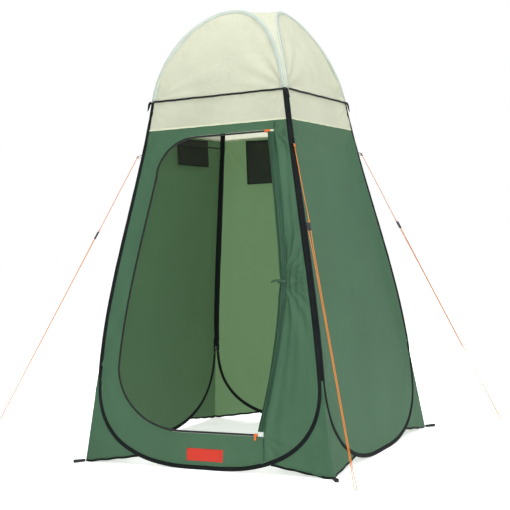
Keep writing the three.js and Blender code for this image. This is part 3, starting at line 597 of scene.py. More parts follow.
binding_tape = stitched_tape("black_binding", (0.0055, 0.0078, 0.0082), (0.022, 0.026, 0.027),
                             0.021)
steel = spring_steel()
path, across, outwards = run_frames(whole_lower)
wavy = puckered(path, across, outwards, 0.0012, 0.09)
slim = np.interp(path[:, 2], (0.05, 0.35, 0.9, 1.6), (1.22, 1, 1, 0.66))
for turn, wall in enumerate(WALL_NAMES):
    binding = turned_sweep("hoop_binding_" + wall, 90 * turn, wavy, across, outwards,
                           folded_section(BINDING_MOUTH, BINDING_ROUND),
                    widths=slim)
    dress(binding, binding_tape, "tent", "black_binding", "binding_" + wall)
    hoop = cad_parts["hoop_" + wall]
    hoop.data.materials.clear()
    hoop.data.materials.append(steel)


# ---- Corner seams ----
# From the knees up to the ring, neighbouring bindings are sewn together by a narrow black
# strip that lies in the valley between them.

WEB_HALF = 0.0098
rise = np.linspace(0.372, 1.606, 90)
diagonal = (half_width(rise) - 0.00525) * math.sqrt(2)
web_line = np.stack([diagonal, np.zeros_like(rise), rise], -1)
web_out = unit(np.stack([np.ones_like(rise), np.zeros_like(rise),
                         -np.gradient(diagonal, rise)], -1))
web_across = np.tile((0.0, 1.0, 0.0), (len(rise), 1))
web_widths = np.interp(rise, (0.372, 0.50, 0.9, 1.6), (0.12, 1, 1, 0.78))
for corner, (degrees, _) in CORNERS.items():
    web = turned_sweep("corner_seam_" + corner, degrees, web_line, web_across, web_out,
                       [(-WEB_HALF, -0.0006), (-0.003, -0.0010), (0.003, -0.0010),
                 (WEB_HALF, -0.0006), (WEB_HALF, 0.0006), (0.003, 0.0016), (0.0, 0.0008),
                 (-0.003, 0.0016), (-WEB_HALF, 0.0006)], widths=web_widths)
    dress(web, binding_tape, "tent", "black_binding")


# ---- Arch sleeves ----
# Over the roof the hoop runs in a pale grey-green sleeve of folded tape with one row of
# stitches, gathered slightly on the bend.

sleeve_tape = stitched_tape("pale_sleeve", (0.45, 0.51, 0.45), (0.50, 0.55, 0.48), 0.030,
                            0.94, 1.05)
path, across, outwards = run_frames(whole_arch)
wavy = puckered(path, across, outwards, 0.0014, 0.07)
for turn, wall in enumerate(WALL_NAMES):
    sleeve = turned_sweep("roof_sleeve_" + wall, 90 * turn, wavy, across, outwards,
                          folded_section(0.0150, 0.0046))
    dress(sleeve, sleeve_tape, "tent", "pale_sleeve", "arch_sleeve_" + wall)


# ---- Green walls ----
# Thin coated polyester, drawn tight in its hoop: the right, back and left walls are each one
# cut of cloth. It takes soft upright hollows between the hoop's sides, and short pleats run
# in from the ring's corners and from the knees.

CLOTH_TUCK = 0.007
GRID = 0.012


def edge_line(run):
    """The cloth's edge inside the binding, as (x, z)."""
    along = unit(np.gradient(run, axis=0))
    inside = np.stack([-along[:, 1], along[:, 0]], -1)
    return run + CLOTH_TUCK * inside


lower_edge = edge_line(lower_hoop)
arch_edge = edge_line(arch_hoop)


def edge_x(edge, z):
    return np.interp(z, edge[:, 1], edge[:, 0])


def cloth_noise(x, z, size, seed):
    """Smooth even hills of the given size, between -1 and 1."""
    flat = [noise.noise(Vector((a / size, b / size, seed)))
            for a, b in zip(np.ravel(x), np.ravel(z))]
    return np.reshape(flat, np.shape(x))


def eased(value, start, end):
    t = np.clip((value - start) / (end - start), 0, 1)
    return t * t * (3 - 2 * t)


def pleats(x, z, at, count, reach, height, seed=0.0):
    """Short folds that run out from a point where the cloth is pulled."""
    dx, dz = x - at[0], z - at[1]
    distance = np.hypot(dx, dz)
    angle = np.arctan2(dz, dx)
    wander = 0.35 * np.sin(3 * angle + seed) + 0.6 * distance / reach * math.sin(seed + 1)
    fade = np.exp(-(distance / reach) ** 1.4) * eased(distance, 0, 0.035)
    return height * fade * np.sin(count * angle + wander * 3 + seed)


def cloth_material(name, colour, lit, share, rough=0.6, crinkle=0.5):
    """Thin woven cloth that lets light through: colour in front light, lit when light comes
    through it, and share is how much of what meets it goes through."""
    material, tree, shader = new_material(name)
    place, threads = thread_waves(tree, 0.0011, 0.0009)
    where = add_node(tree, "TexCoord").outputs["Object"]
    cloud = add_node(tree, "TexNoise", Vector=where, Scale=3.2, Detail=4, Roughness=0.6)
    tint = ramp(tree, cloud.outputs["Fac"], (*(c * 0.88 for c in colour), 1),
                (*(min(1, c * 1.1) for c in colour), 1), 0.25, 0.78)
    creases = add_node(tree, "TexNoise", Vector=place, Scale=26, Detail=5, Roughness=0.55,
                       Distortion=0.8)
    soft = add_node(tree, "Bump", Height=creases.outputs["Fac"], Strength=crinkle,
                    Distance=0.004)
    weave = add_node(tree, "Bump", Height=threads, Strength=0.12, Distance=0.0002,
                     Normal=soft.outputs[0])
    surface(tree, shader, tint.outputs[0], weave.outputs[0], rough)
    shader.inputs["Specular IOR Level"].default_value = 0.22
    through = add_node(tree, "BsdfTranslucent", Color=(*lit, 1), Normal=weave.outputs[0])
    both = add_node(tree, "MixShader", i0=share, i1=shader.outputs[0], i2=through.outputs[0])
    tree.links.new(both.outputs[0], tree.nodes["Material Output"].inputs["Surface"])
    return material


def wall_grid(edge, low, high, step=GRID):
    """Rows of x and z that fill a panel between its edges."""
    rows = max(3, int(round((high - low) / step)) + 1)
    z = np.linspace(low, high, rows)
    span = edge_x(edge, z)
    columns = int(round(2 * span.max() / step)) | 1
    share = np.linspace(-1, 1, columns)
    return span[:, None] * share, np.repeat(z[:, None], columns, 1)


def sewn_fade(x, z, edge, low, high, reach=0.06):
    """1 in the open cloth, falling to 0 along the sewn edges."""
    side = edge_x(edge, z) - np.abs(x)
    return (eased(side, 0, reach) * eased(z - low, 0, reach) * eased(high - z, 0, reach))


def sheet_piece(name, x, z, stand, turn, material, slot, node):
    points = wall_point(x, z, stand, turn)
    piece = make_piece(name, points, grid_faces(*x.shape), np.stack([x, z], -1))
    dress(piece, material, "tent", slot, node)


GREEN = (0.060, 0.142, 0.086)
GREEN_LIT = (0.21, 0.34, 0.15)
green_cloth = cloth_material("green_cloth", GREEN, GREEN_LIT, 0.24, crinkle=0.32)
wall_low = float(lower_edge[:, 1].min())
x, z = wall_grid(lower_edge, wall_low, SEAM_HEIGHT)
for turn, wall in ((1, "right"), (2, "back"), (3, "left")):
    seed = 4.0 * turn
    free = sewn_fade(x, z, lower_edge, wall_low, SEAM_HEIGHT, 0.10)
    hollow = -0.016 * free * eased(z, 0.1, 0.7)
    upright_folds = 0.0042 * cloth_noise(x * 1.6, z * 0.6, 0.42, seed) * free
    small = 0.0007 * cloth_noise(x * 1.6, z * 0.8, 0.09, seed + 2) * free
    pulls = sum(pleats(x, z, (side * place, height), count, reach, rise, seed + side)
                for side in (-1, 1)
                for place, height, count, reach, rise in (
                    (0.352, 1.47, 15, 0.20, 0.0030), (0.545, 0.40, 15, 0.16, 0.0034)))
    sheet_piece("green_wall_" + wall, x, z, hollow + upright_folds + small + pulls, turn,
                green_cloth, "green_cloth", "wall_" + wall)


# ---- Front wall with its doorway ----
# The same green cloth, cut out for the door. The opening's edge is turned in and sewn to the
# zip, so the cloth beside it stands a little proud; the sill sags between the feet.

DOOR_TOP = 1.440
DOOR_BOTTOM = 0.152
POST_WIDTH = 0.105
HINGE_X = 0.290
TOP_CORNER = (0.201, 0.171)
BOTTOM_CORNER = (0.331, 0.268)
GATHER_PULL = 0.095
FRONT_ACROSS = 16


def door_line(end_x, arc_steps=26, post_steps=58, straight=34):
    """The cut edge from the header down the post and along the sill, as (x, z)."""
    top_foot = DOOR_TOP - TOP_CORNER[1]
    low_head = DOOR_BOTTOM + BOTTOM_CORNER[1]
    top_x = POST_WIDTH - float(half_width(top_foot)) + TOP_CORNER[0]
    low_x = POST_WIDTH - float(half_width(low_head)) + BOTTOM_CORNER[0]
    turn = np.linspace(0, math.pi / 2, arc_steps + 1)
    header = np.stack([np.linspace(end_x, top_x, straight + 1)[:-1],
                       np.full(straight, DOOR_TOP)], -1)
    top = np.stack([top_x - TOP_CORNER[0] * np.sin(turn),
                    top_foot + TOP_CORNER[1] * np.cos(turn)], -1)
    z = np.linspace(top_foot, low_head, post_steps + 1)[1:-1]
    post = np.stack([POST_WIDTH - half_width(z), z], -1)
    low = np.stack([low_x - BOTTOM_CORNER[0] * np.cos(turn),
                    low_head - BOTTOM_CORNER[1] * np.sin(turn)], -1)
    sill = np.stack([np.linspace(low_x, end_x, straight + 1)[1:],
                     np.full(straight, DOOR_BOTTOM)], -1)
    return np.concatenate([header, top, post, low, sill]), (
        straight, arc_steps, post_steps, arc_steps, straight)


def outer_line(end_x, counts):
    """The wall's outline matched to the door line: seam, side, knee and foot."""
    header, top, post, low, sill = counts
    left = np.stack([-lower_edge[:, 0], lower_edge[:, 1]], -1)[::-1]
    seam_left = -float(edge_x(lower_edge, SEAM_HEIGHT))
    corner = np.array((seam_left, SEAM_HEIGHT))
    start = np.array((POST_WIDTH - float(half_width(DOOR_TOP - TOP_CORNER[1])) + TOP_CORNER[0],
                      SEAM_HEIGHT))
    along_seam = np.linspace((end_x, SEAM_HEIGHT), start, header + 1)[:-1]
    down = left[left[:, 1] < SEAM_HEIGHT]
    down = np.concatenate([[corner], down])
    travelled = distances(down)

    def at(s):
        return np.stack([np.interp(s, travelled, down[:, 0]),
                         np.interp(s, travelled, down[:, 1])], -1)

    post_top = travelled[np.argmin(np.abs(down[:, 1] - (DOOR_TOP - TOP_CORNER[1])))]
    post_low = travelled[np.argmin(np.abs(down[:, 1] - 0.40))]
    sill_start = travelled[np.argmin(np.abs(down[:, 0] + 0.16))]
    round_corner = np.concatenate([
        np.linspace(start, corner, top // 2 + 1),
        at(np.linspace(0, post_top, top - top // 2 + 1))[1:]])
    side = at(np.linspace(post_top, post_low, post + 1))[1:-1]
    knee = at(np.linspace(post_low, sill_start, low + 1))
    foot_x = np.linspace(at(sill_start)[0], end_x, sill + 1)[1:]
    foot = np.stack([foot_x, np.interp(np.abs(foot_x), lower_edge[:, 0], lower_edge[:, 1])], -1)
    return np.concatenate([along_seam, round_corner, side, knee, foot])


inner, counts = door_line(HINGE_X + 0.002)
outline = outer_line(HINGE_X + 0.002, counts)
share = np.linspace(0, 1, FRONT_ACROSS)[:, None, None]
front = inner * (1 - share) + outline * share
x, z = front[..., 0], front[..., 1]
from_door = np.linalg.norm(front - inner, axis=-1)
free = eased(from_door, 0, 0.03) * sewn_fade(x, z, lower_edge, wall_low, SEAM_HEIGHT, 0.05)
proud = 0.0022 * np.exp(-(from_door / 0.011) ** 2)
roll = 0.0045 * cloth_noise(x * 2.2, z * 1.0, 0.16, 21.0) * free
ripples = 0.0016 * cloth_noise(x * 1.5, z * 1.1, 0.05, 23.0) * free
pulls = sum(pleats(x, z, at, count, reach, rise, seed) * eased(from_door, 0, 0.03)
            for at, count, reach, rise, seed in (
                ((-0.36, 1.47), 15, 0.13, 0.0025, 0.4), ((-0.545, 0.40), 13, 0.16, 0.0035, 1.1),
                ((HINGE_X, 0.15), 12, 0.18, 0.0030, 2.0)))
sheet_piece("green_wall_front", x, z, proud + roll + ripples + pulls, 0,
            green_cloth, "green_cloth", "wall_front")


# ---- Hinge panel ----
# The strip of the front wall between the door and the right side. The tied door draws it
# aside, so folds fan out in it from the tie and from both ends of the seam.

def drawn_x(z):
    part = np.clip((z - DOOR_BOTTOM) / (DOOR_TOP - DOOR_BOTTOM), 0, 1)
    return HINGE_X + GATHER_PULL * np.sin(math.pi * part) ** 1.2


TIE_HEIGHT = 0.7935
z = np.unique(np.round(np.concatenate([
    lower_edge[(lower_edge[:, 0] > HINGE_X + 0.012) & (lower_edge[:, 1] < 0.2), 1],
    np.linspace(0.06, SEAM_HEIGHT, 150)]), 5))
far = edge_x(lower_edge, z)
part = np.clip((z - DOOR_BOTTOM) / (DOOR_TOP - DOOR_BOTTOM), 0, 1)
tucked = 0.012 * np.sin(math.pi * part) ** 0.3
near = np.where((z > DOOR_BOTTOM) & (z < DOOR_TOP), drawn_x(z) - tucked, HINGE_X - 0.002)
kept = far > near + 0.004
z, near, far = z[kept], near[kept], far[kept]
share = np.linspace(0, 1, 22)
x = near[:, None] * (1 - share) + far[:, None] * share
z = np.repeat(z[:, None], len(share), 1)
from_near, from_far = x - near[:, None], far[:, None] - x
free = eased(from_far, 0, 0.03) * eased(SEAM_HEIGHT - z, 0, 0.03)
in_door = eased(z, DOOR_BOTTOM, DOOR_BOTTOM + 0.06) * eased(DOOR_TOP - z, 0, 0.06)
free = free * (eased(from_near, 0, 0.02) + in_door * (1 - eased(from_near, 0, 0.02)))
fan = sum(pleats(x, z, at, count, reach, rise, seed)
          for at, count, reach, rise, seed in (
              ((0.372, TIE_HEIGHT), 20, 0.26, 0.0070, 0.6),
              ((HINGE_X, 0.152), 9, 0.22, 0.0026, 1.9),
              ((HINGE_X, 1.440), 15, 0.34, 0.0065, 0.9)))
# Long folds run beside the drawn edge and crowd together towards the tie.
crowding = 0.026 + 0.040 * np.abs(z - TIE_HEIGHT) / 0.64
beside_tie = (from_near + 0.005 * cloth_noise(x * 0.5, z, 0.30, 33.0)) / crowding
long_folds = (0.0042 * np.sin(2 * math.pi * beside_tie) * np.exp(-from_near / 0.085)
              + 0.0042 * cloth_noise(x * 3.0 - 2.4 * drawn_x(z), z * 0.25, 0.16, 31.0))
rolled = 0.0060 * in_door * np.exp(-(from_near / 0.022) ** 2)
sheet_piece("green_hinge_panel", x, z, (fan + long_folds) * free + rolled, 0, green_cloth,
            "green_cloth", "hinge_panel")

# Above and below the door the panel is joined to the front wall by a narrow sewn seam.
# The seam's cloth is the walls' green painted at about a third of its brightness: painted shade
# along the seam line.
seam_cloth_painted_shade = webbing_material("seam_cloth_painted_shade", (0.022, 0.050, 0.032), 0.0011)
for part, foot, head in (("foot", 0.034, 0.146), ("head", 1.446, SEAM_HEIGHT - 0.006)):
    height = np.linspace(foot, head, 24)
    run = wall_point(np.full(24, HINGE_X - 0.0005), height, 0.0012)
    seam = swept("hinge_seam_" + part, run, np.tile((1.0, 0, 0), (24, 1)), wall_outwards(height),
                 [(-0.0024, -0.0006), (0.0024, -0.0006), (0.0024, 0.0004), (0.0004, 0.0009),
                  (-0.0024, 0.0005)])
    dress(seam, seam_cloth_painted_shade, "tent", "green_cloth")


# ---- Door flap, tied back ----
# The door hangs from the hinge seam. It is drawn together like a curtain and tied at the
# middle of its height, so its cloth lies in deep upright folds that close in at the tie.

# The bunch: part of its height, and its width there.
BUNCH = ((0, 0.026), (0.12, 0.022), (0.21, 0.024), (0.34, 0.029), (0.46, 0.035),
         (0.489, 0.032), (0.511, 0.032), (0.56, 0.039), (0.69, 0.046), (0.85, 0.036),
         (0.93, 0.030), (1, 0.026))
FLAP_FOOT = 0.174
FLAP_HEAD = 1.430
# The flap's width of cloth, narrower than the doorway it closes, which is 0.73 m wide: the folds
# hold too little.
FLAP_CLOTH = 0.58
FOLDS = 9


def bunch_at(z):
    """Middle, half-width and half-depth of the bunch at a height."""
    part = (z - FLAP_FOOT) / (FLAP_HEAD - FLAP_FOOT)
    rows = np.array(BUNCH)
    blend = np.linspace(-0.03, 0.03, 7)
    width = np.mean([np.interp(part + b, rows[:, 0], rows[:, 1]) for b in blend], 0)
    near_tie = np.exp(-((z - TIE_HEIGHT) / 0.03) ** 2)
    right = drawn_x(z) + 0.002
    middle = np.stack([right - width / 2, -half_width(z) - 0.009, z], -1)
    return middle, width / 2 * (1 - 0.12 * near_tie), 0.0185 * (1 - 0.30 * near_tie)


rows = 190
z = np.linspace(FLAP_FOOT, FLAP_HEAD, rows)
middle, half_span, half_deep = bunch_at(z)
columns = 25 * FOLDS
across = np.linspace(0, 1, columns)
wander = np.array([[noise.noise(Vector((a * 3.2, h * 1.7, 5.5))) for a in across] for h in z])
phase = across * FOLDS * 2 * math.pi + 1.6 * wander + 0.35 * np.sin(2.2 * z)[:, None]
spread = 2 * across - 1 + 0.10 * np.sin(2 * phase + 0.7) * (1 - np.abs(2 * across - 1))
# Only some folds come right to the front; the others stay behind them.
leading = 0.62 + 0.75 * np.array([[noise.noise(Vector((a * 5.5 + 8, h * 1.1, 1.5)))
                                   for a in across] for h in z])
body = np.cos(spread.clip(-1, 1) * math.pi / 2) ** 0.25
# The crests are broad and the valleys between them narrow, as in cloth that is pulled tight.
wave = np.tanh(2.0 * (np.sin(phase) + 0.35)) / math.tanh(2.7)
depth = np.where(wave > 0, wave * leading.clip(0.25, 1), wave) * body
depth += 0.13 * np.array([[noise.noise(Vector((a * 16, h * 13, 2.5))) for a in across] for h in z])
points = middle[:, None] + np.stack([
    half_span[:, None] * 0.97 * spread,
    -half_deep[:, None] * depth.clip(-1, 1),
    np.zeros_like(depth)], -1)
flap_uv = np.stack(np.broadcast_arrays(across * FLAP_CLOTH, z[:, None]), -1)
flap = make_piece("door_flap_cloth", points, grid_faces(rows, columns), flap_uv)
# The flap's cloth is the walls' green painted somewhat lighter: painted light that offsets the
# shade in its deep folds.
flap.data.materials.append(cloth_material("crumpled_cloth_painted_light", (0.070, 0.160, 0.098), GREEN_LIT, 0.24,
                                          rough=0.45, crinkle=1.0))
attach(flap, "door_flap")
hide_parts("door_flap")


# ---- Tie ----
# A narrow strip of the same cloth goes twice round the bunch and is tied in a small knot;
# one end sticks out to the left.

TIE_WIDTH = 0.012
middle, span, deep = (v[0] for v in bunch_at(np.array([TIE_HEIGHT])))
angle = np.linspace(0, 2 * math.pi, 49)[:-1]
loop = np.stack([middle[0] + (span + 0.0022) * np.cos(angle),
                 middle[1] + (deep + 0.0030) * np.sin(angle),
                 TIE_HEIGHT + 0.0015 * np.sin(2 * angle)], -1)
ahead = unit(np.roll(loop, -1, 0) - np.roll(loop, 1, 0))
upward = np.tile((0.0, 0.0, 1.0), (len(loop), 1))
outer_way = np.cross(ahead, upward)
h, t = TIE_WIDTH / 2, 0.0009
tie_section = [(-h, -t), (-h * 0.3, -t * 0.6), (h * 0.3, -t * 0.6), (h, -t), (h, t),
               (h * 0.35, t * 1.5), (0, t * 0.7), (-h * 0.35, t * 1.5), (-h, t)]
# The tie's cloth is the walls' green painted at half its brightness: painted shade.
tie_material_painted_shade = webbing_material("tie_cloth_painted_shade", (0.030, 0.072, 0.044), 0.0011)
band = swept("tie_band", loop, upward, outer_way, tie_section, closed=True)
knot_at = middle + np.array((-span * 0.45, -deep - 0.005, 0))
knot = tube("tie_knot", knot_path(knot_at, (0.9, 0, 0.43), 0.0044), 0.0034, 8)
tail = smooth_path([knot_at, knot_at + (-0.012, -0.003, 0.004), knot_at + (-0.028, -0.002, 0.001),
                    knot_at + (-0.043, 0.001, -0.005)], 6)
tail_up = np.tile(unit(np.array((0.2, 0.0, 1.0))), (len(tail), 1))
tail_out = np.cross(unit(np.gradient(tail, axis=0)), tail_up)
strip = swept("tie_tail", tail, tail_up, tail_out, flat_section(0.0045, 0.0007))
for piece in (band, knot, strip):
    dress(piece, tie_material_painted_shade, "door_flap", "green_cloth")
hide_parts("flap_tie")


# ---- Zip ----
# A coil zip: a black tape sewn inside the cut edge, with its row of teeth on the edge that
# faces into the doorway.

ZIP_HALF = 0.0045
inner, _ = door_line(0.260, 40, 90, 60)
path = wall_point(inner[:, 0], inner[:, 1])
ahead = unit(np.gradient(path, axis=0))
into_door = unit(np.cross(wall_outwards(path[:, 2]), ahead))
out_way = np.cross(ahead, into_door)
zip_line = path + into_door * 0.005
teeth_bulge = [(ZIP_HALF, -0.0004), (ZIP_HALF, 0.0004), (0.0042, 0.0012), (0.0030, 0.0015),
               (0.0018, 0.0012), (0.0014, 0.0004), (-ZIP_HALF, 0.0004), (-ZIP_HALF, -0.0004),
               (0.0014, -0.0004), (0.0018, -0.0012), (0.0030, -0.0015), (0.0042, -0.0012)]


def zip_material():
    """Woven zip tape with its moulded coil: tight ribs across the run."""
    material, tree, shader = new_material("zip_tape")
    place = add_node(tree, "TexCoord").outputs["UV"]
    coil = add_node(tree, "TexWave", wave_type="BANDS", bands_direction="X", Vector=place,
                    Scale=22)
    tint = ramp(tree, coil.outputs["Fac"], (0.008, 0.010, 0.010, 1), (0.026, 0.030, 0.031, 1))
    lift = add_node(tree, "Bump", Height=coil.outputs["Fac"], Strength=0.8, Distance=0.0006)
    surface(tree, shader, tint.outputs[0], lift.outputs[0], 0.5)
    return material


zip_piece = swept("zip_with_coil", zip_line, into_door, out_way, teeth_bulge)
dress(zip_piece, zip_material(), "tent", "black_binding", "zip_track")


# ---- Sliders and pulls ----
# Two orange sliders, one at each end of the zip. Each is a two-leaf body with a bridge over
# its nose, and a moulded pull with a ribbed grip hangs from the bridge.

SLIDER_X = 0.2525
SLIDER_SIZE = (0.014, 0.0118, 0.0094)
PULL = (0.026, 0.009, 0.003)
slider_orange = plastic_material("orange_moulding", (0.80, 0.17, 0.025), 0.38)


def slider_body(name, size):
    """Two leaves with the zip's slot between them; the end towards the cloth is open."""
    body = named_cube(name, Matrix.Diagonal((*size, 1)))
    in_edit_mode(body)
    slot = 0.0021
    for level in (-slot, slot):
        bpy.ops.mesh.select_all(action="SELECT")
        bpy.ops.mesh.bisect(plane_co=(0, 0, level), plane_no=(0, 0, 1))
    select_faces(body, lambda face: face.normal.y < -0.9 and abs(face.center.z) < slot)
    bpy.ops.mesh.extrude_region_move(TRANSFORM_OT_translate={
        "value": (0, size[1] - 0.0015, 0)})
    bpy.ops.object.mode_set(mode="OBJECT")
    apply_modifier(body, "BEVEL", width=0.0009, segments=2, limit_method="ANGLE",
                   angle_limit=math.radians(50))
    bpy.ops.object.shade_smooth_by_angle(angle=math.radians(35))
    return body


def pull_tab(name, size):
    """A flat tab along +X with rounded ends, a grip hollow and three ribs."""
    tab = named_cube(name, Matrix.Translation((size[0] / 2 - size[1] / 2, 0, size[2] / 2))
                     @ Matrix.Diagonal((*size, 1)))
    in_edit_mode(tab)
    for place in (0.0025, 0.0065, 0.0085, 0.0110, 0.0130, 0.0155):
        bpy.ops.mesh.select_all(action="SELECT")
        bpy.ops.mesh.bisect(plane_co=(place, 0, 0), plane_no=(1, 0, 0))
    grips = ((0.0065, 0.0085), (0.0110, 0.0130))
    select_faces(tab, lambda face: face.normal.z > 0.9 and any(
        a < face.center.x < b for a, b in grips))
    bpy.ops.mesh.inset(thickness=0.0004, depth=0.0)
    bpy.ops.mesh.extrude_region_move(TRANSFORM_OT_translate={"value": (0, 0, -0.0007)})
    bpy.ops.object.mode_set(mode="OBJECT")
    apply_modifier(tab, "BEVEL", width=0.0011, segments=3, limit_method="ANGLE",
                   angle_limit=math.radians(60))
    bpy.ops.object.shade_smooth_by_angle(angle=math.radians(40))
    return tab


SLIDERS = (("top", DOOR_TOP, -1, 0), ("bottom", DOOR_BOTTOM, 1, -90))
for end, height, into, swing in SLIDERS:
    out_of_tent = wall_outwards(np.array([height]))[0]
    across = np.array((1.0, 0, 0))
    door_way = np.cross(out_of_tent, (into, 0, 0))
    door_way = door_way if door_way[2] * into > 0 else -door_way
    middle = wall_point(SLIDER_X, height) + door_way * (0.005 + 0.00055)
    body = slider_body("zip_slider_body_" + end, SLIDER_SIZE)
    place_mesh(body, (across if into > 0 else -across, door_way, out_of_tent), middle)
    up = door_way if into > 0 else -door_way
    tab = pull_tab("zip_pull_tab_" + end, PULL)
    c, s = math.cos(math.radians(swing)), math.sin(math.radians(swing))
    basis = (c * across + s * up, -s * across + c * up, out_of_tent)
    face = wall_point(SLIDER_X, height) + door_way * 0.005 + out_of_tent * 0.0053
    place_mesh(tab, basis, face)
    bridge_path = smooth_path([face + v for v in (
        -across * 0.0052 - out_of_tent * 0.0008, -across * 0.0044 + out_of_tent * 0.0032,
        out_of_tent * 0.0044, across * 0.0044 + out_of_tent * 0.0032,
        across * 0.0052 - out_of_tent * 0.0008)], 5)
    bridge = tube("zip_bridge_" + end, bridge_path, 0.0009, 8)
    for piece, body_name in ((body, end + "_slider"), (bridge, end + "_slider"),
                             (tab, end + "_pull")):
        dress(piece, slider_orange, body_name, "orange_plastic")
    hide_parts("zip_slider_" + end)
    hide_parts("zip_pull_" + end)


# ---- Cream bands ----
# Above the green cloth each wall is uncoated cream polyester, from the felled seam up to the
# dark ring. On the front it is pulled aslant towards the hoop on the right.

CREAM = (0.700, 0.715, 0.580)
CREAM_LIT = (0.78, 0.79, 0.65)
cream_cloth = cloth_material("cream_cloth", CREAM, CREAM_LIT, 0.40, rough=0.7, crinkle=0.9)
x, z = wall_grid(lower_edge, SEAM_HEIGHT, RING_HEIGHT - 0.0005, 0.007)
for turn, wall in enumerate(WALL_NAMES):
    seed = 40.0 + 5 * turn
    free = sewn_fade(x, z, lower_edge, SEAM_HEIGHT, RING_HEIGHT, 0.03)
    aslant = cloth_noise((x - 0.9 * z) * 3.0, z * 0.5, 0.11, seed) * eased(x, -0.1, 0.2)
    level_folds = cloth_noise(x * 0.8, z * 2.4, 0.10, seed + 1)
    pulls = pleats(x, z, (0.342, 1.60), 16, 0.16, 0.0030, seed) + pleats(
        x, z, (-0.342, 1.60), 14, 0.12, 0.0022, seed + 2)
    stand = 0.0034 * aslant * free + 0.0024 * level_folds * free + pulls
    sheet_piece("cream_cloth_" + wall, x, z, stand, turn, cream_cloth, "cream_cloth",
                "cream_band_" + wall)


# ---- Felled seams ----
# Where green and cream meet, the two edges are folded over each other and stitched flat.

seam_tape = stitched_tape("felled_seam", (0.62, 0.66, 0.48), (0.40, 0.44, 0.32), 0.0075, 0.9, 1.05)
SEAM_SECTION = [(-0.0038, 0.0002), (-0.0032, -0.0003), (0.0032, -0.0003), (0.0038, 0.0002),
                (0.0034, 0.0009), (0.0012, 0.0013), (-0.0012, 0.0013), (-0.0034, 0.0009)]
reach = float(edge_x(lower_edge, SEAM_HEIGHT))
x = np.linspace(-reach, reach, 120)
z = np.full_like(x, SEAM_HEIGHT + 0.0034)
seam_out = wall_outwards(z)
seam_up = np.cross(seam_out, (1.0, 0, 0))
for turn, wall in enumerate(WALL_NAMES):
    path = wall_point(x, z + 0.0006 * np.sin(x * 70 + turn), 0.0004)
    seam = turned_sweep("felled_seam_" + wall, 90 * turn, path, seam_up, seam_out,
                        SEAM_SECTION)
    dress(seam, seam_tape, "tent", "cream_cloth")


# ---- Arch panels ----
# The cream half-moons between the ring and each arch, drawn tight by the bend of the hoop.

rows = arch_edge[:-2]
share = np.linspace(-1, 1, 81)
x = rows[:, :1] * share
z = np.repeat(np.maximum(rows[:, 1:], RING_HEIGHT + 0.0005), len(share), 1)
side = rows[:, :1] - np.abs(x)
for turn, wall in enumerate(WALL_NAMES):
    seed = 70.0 + 3 * turn
    crown_room = eased(CROWN_HEIGHT - z, 0.01, 0.09)
    free = eased(side, 0, 0.035) * crown_room * eased(z - RING_HEIGHT, 0, 0.03)
    hollow = -0.006 * free
    folds = 0.0036 * cloth_noise(x * 2.0, z * 1.3, 0.13, seed) * free
    pulls = sum(pleats(x, z, (s * 0.335, 1.625), 17, 0.26, 0.0056, seed + s)
                for s in (-1, 1)) * crown_room
    sheet_piece("arch_cloth_" + wall, x, z, hollow + folds + pulls, turn, cream_cloth,
                "cream_cloth", "arch_panel_" + wall)


# ---- Roof ----
# One star of cream cloth: an arm runs down between each two neighbouring arches, and the
# middle sags a little between the four arch tops.

STAR_BESIDE = 0.0035
CROWN_DIP = 0.018
CHORD_DIP = 0.008
ACROSS = 33
path, across, outwards = run_frames(arch_hoop)
edge = path - STAR_BESIDE * across
edge[-1, 0] = 0
facing = np.stack([-edge[:, 1], -edge[:, 0], edge[:, 2]], -1)
edge, facing = (side[np.linalg.norm(edge - facing, axis=1) > 0.007] for side in (edge, facing))
t = np.linspace(0, 1, ACROSS)
climb = (edge[:, 2] - edge[0, 2]) / (edge[-1, 2] - edge[0, 2])


def dipped(a, b, dip):
    """Rows of points from a to b, sagging between them."""
    points = a[..., None, :] * (1 - t[:, None]) + b[..., None, :] * t[:, None]
    points[..., 2] -= np.asarray(dip)[..., None] * 4 * t * (1 - t)
    return points


arm = dipped(edge, facing, CHORD_DIP * climb)
points = [turned(arm, 90 * side).reshape(-1, 3) for side in range(4)]
arm_size = arm[..., 0].size
faces = [face for side in range(4) for face in grid_faces(len(edge), ACROSS, side * arm_size)]
tops = [turned(edge[-1], 90 * side) for side in range(4)]
near, far = dipped(tops[0], tops[1], CHORD_DIP), dipped(tops[3], tops[2], CHORD_DIP)
beside = dipped(tops[0], tops[3], CHORD_DIP)
patch = near[None] * (1 - t[:, None, None]) + far[None] * t[:, None, None]
u, v = t[None, :], t[:, None]
middle = 16 * v * (1 - v) * u * (1 - u)
patch[..., 2] = (tops[0][2] - CHORD_DIP * (4 * u * (1 - u) + 4 * v * (1 - v)) * (1 - middle)
                 - CROWN_DIP * middle)
patch[0, :, 2], patch[-1, :, 2] = near[:, 2], near[:, 2]
patch[:, 0, 2], patch[:, -1, 2] = beside[:, 2], beside[:, 2]
faces += grid_faces(ACROSS, ACROSS, 4 * arm_size)
points = np.concatenate([*points, patch.reshape(-1, 3)])
roof = make_piece("roof_cloth", points, faces, points[:, :2])
in_edit_mode(roof)
bpy.ops.mesh.select_all(action="SELECT")
bpy.ops.mesh.remove_doubles(threshold=0.0002)
bpy.ops.mesh.normals_make_consistent(inside=False)
bpy.ops.object.mode_set(mode="OBJECT")
if sum(face.normal.z * face.area for face in roof.data.polygons) < 0:
    roof.data.flip_normals()
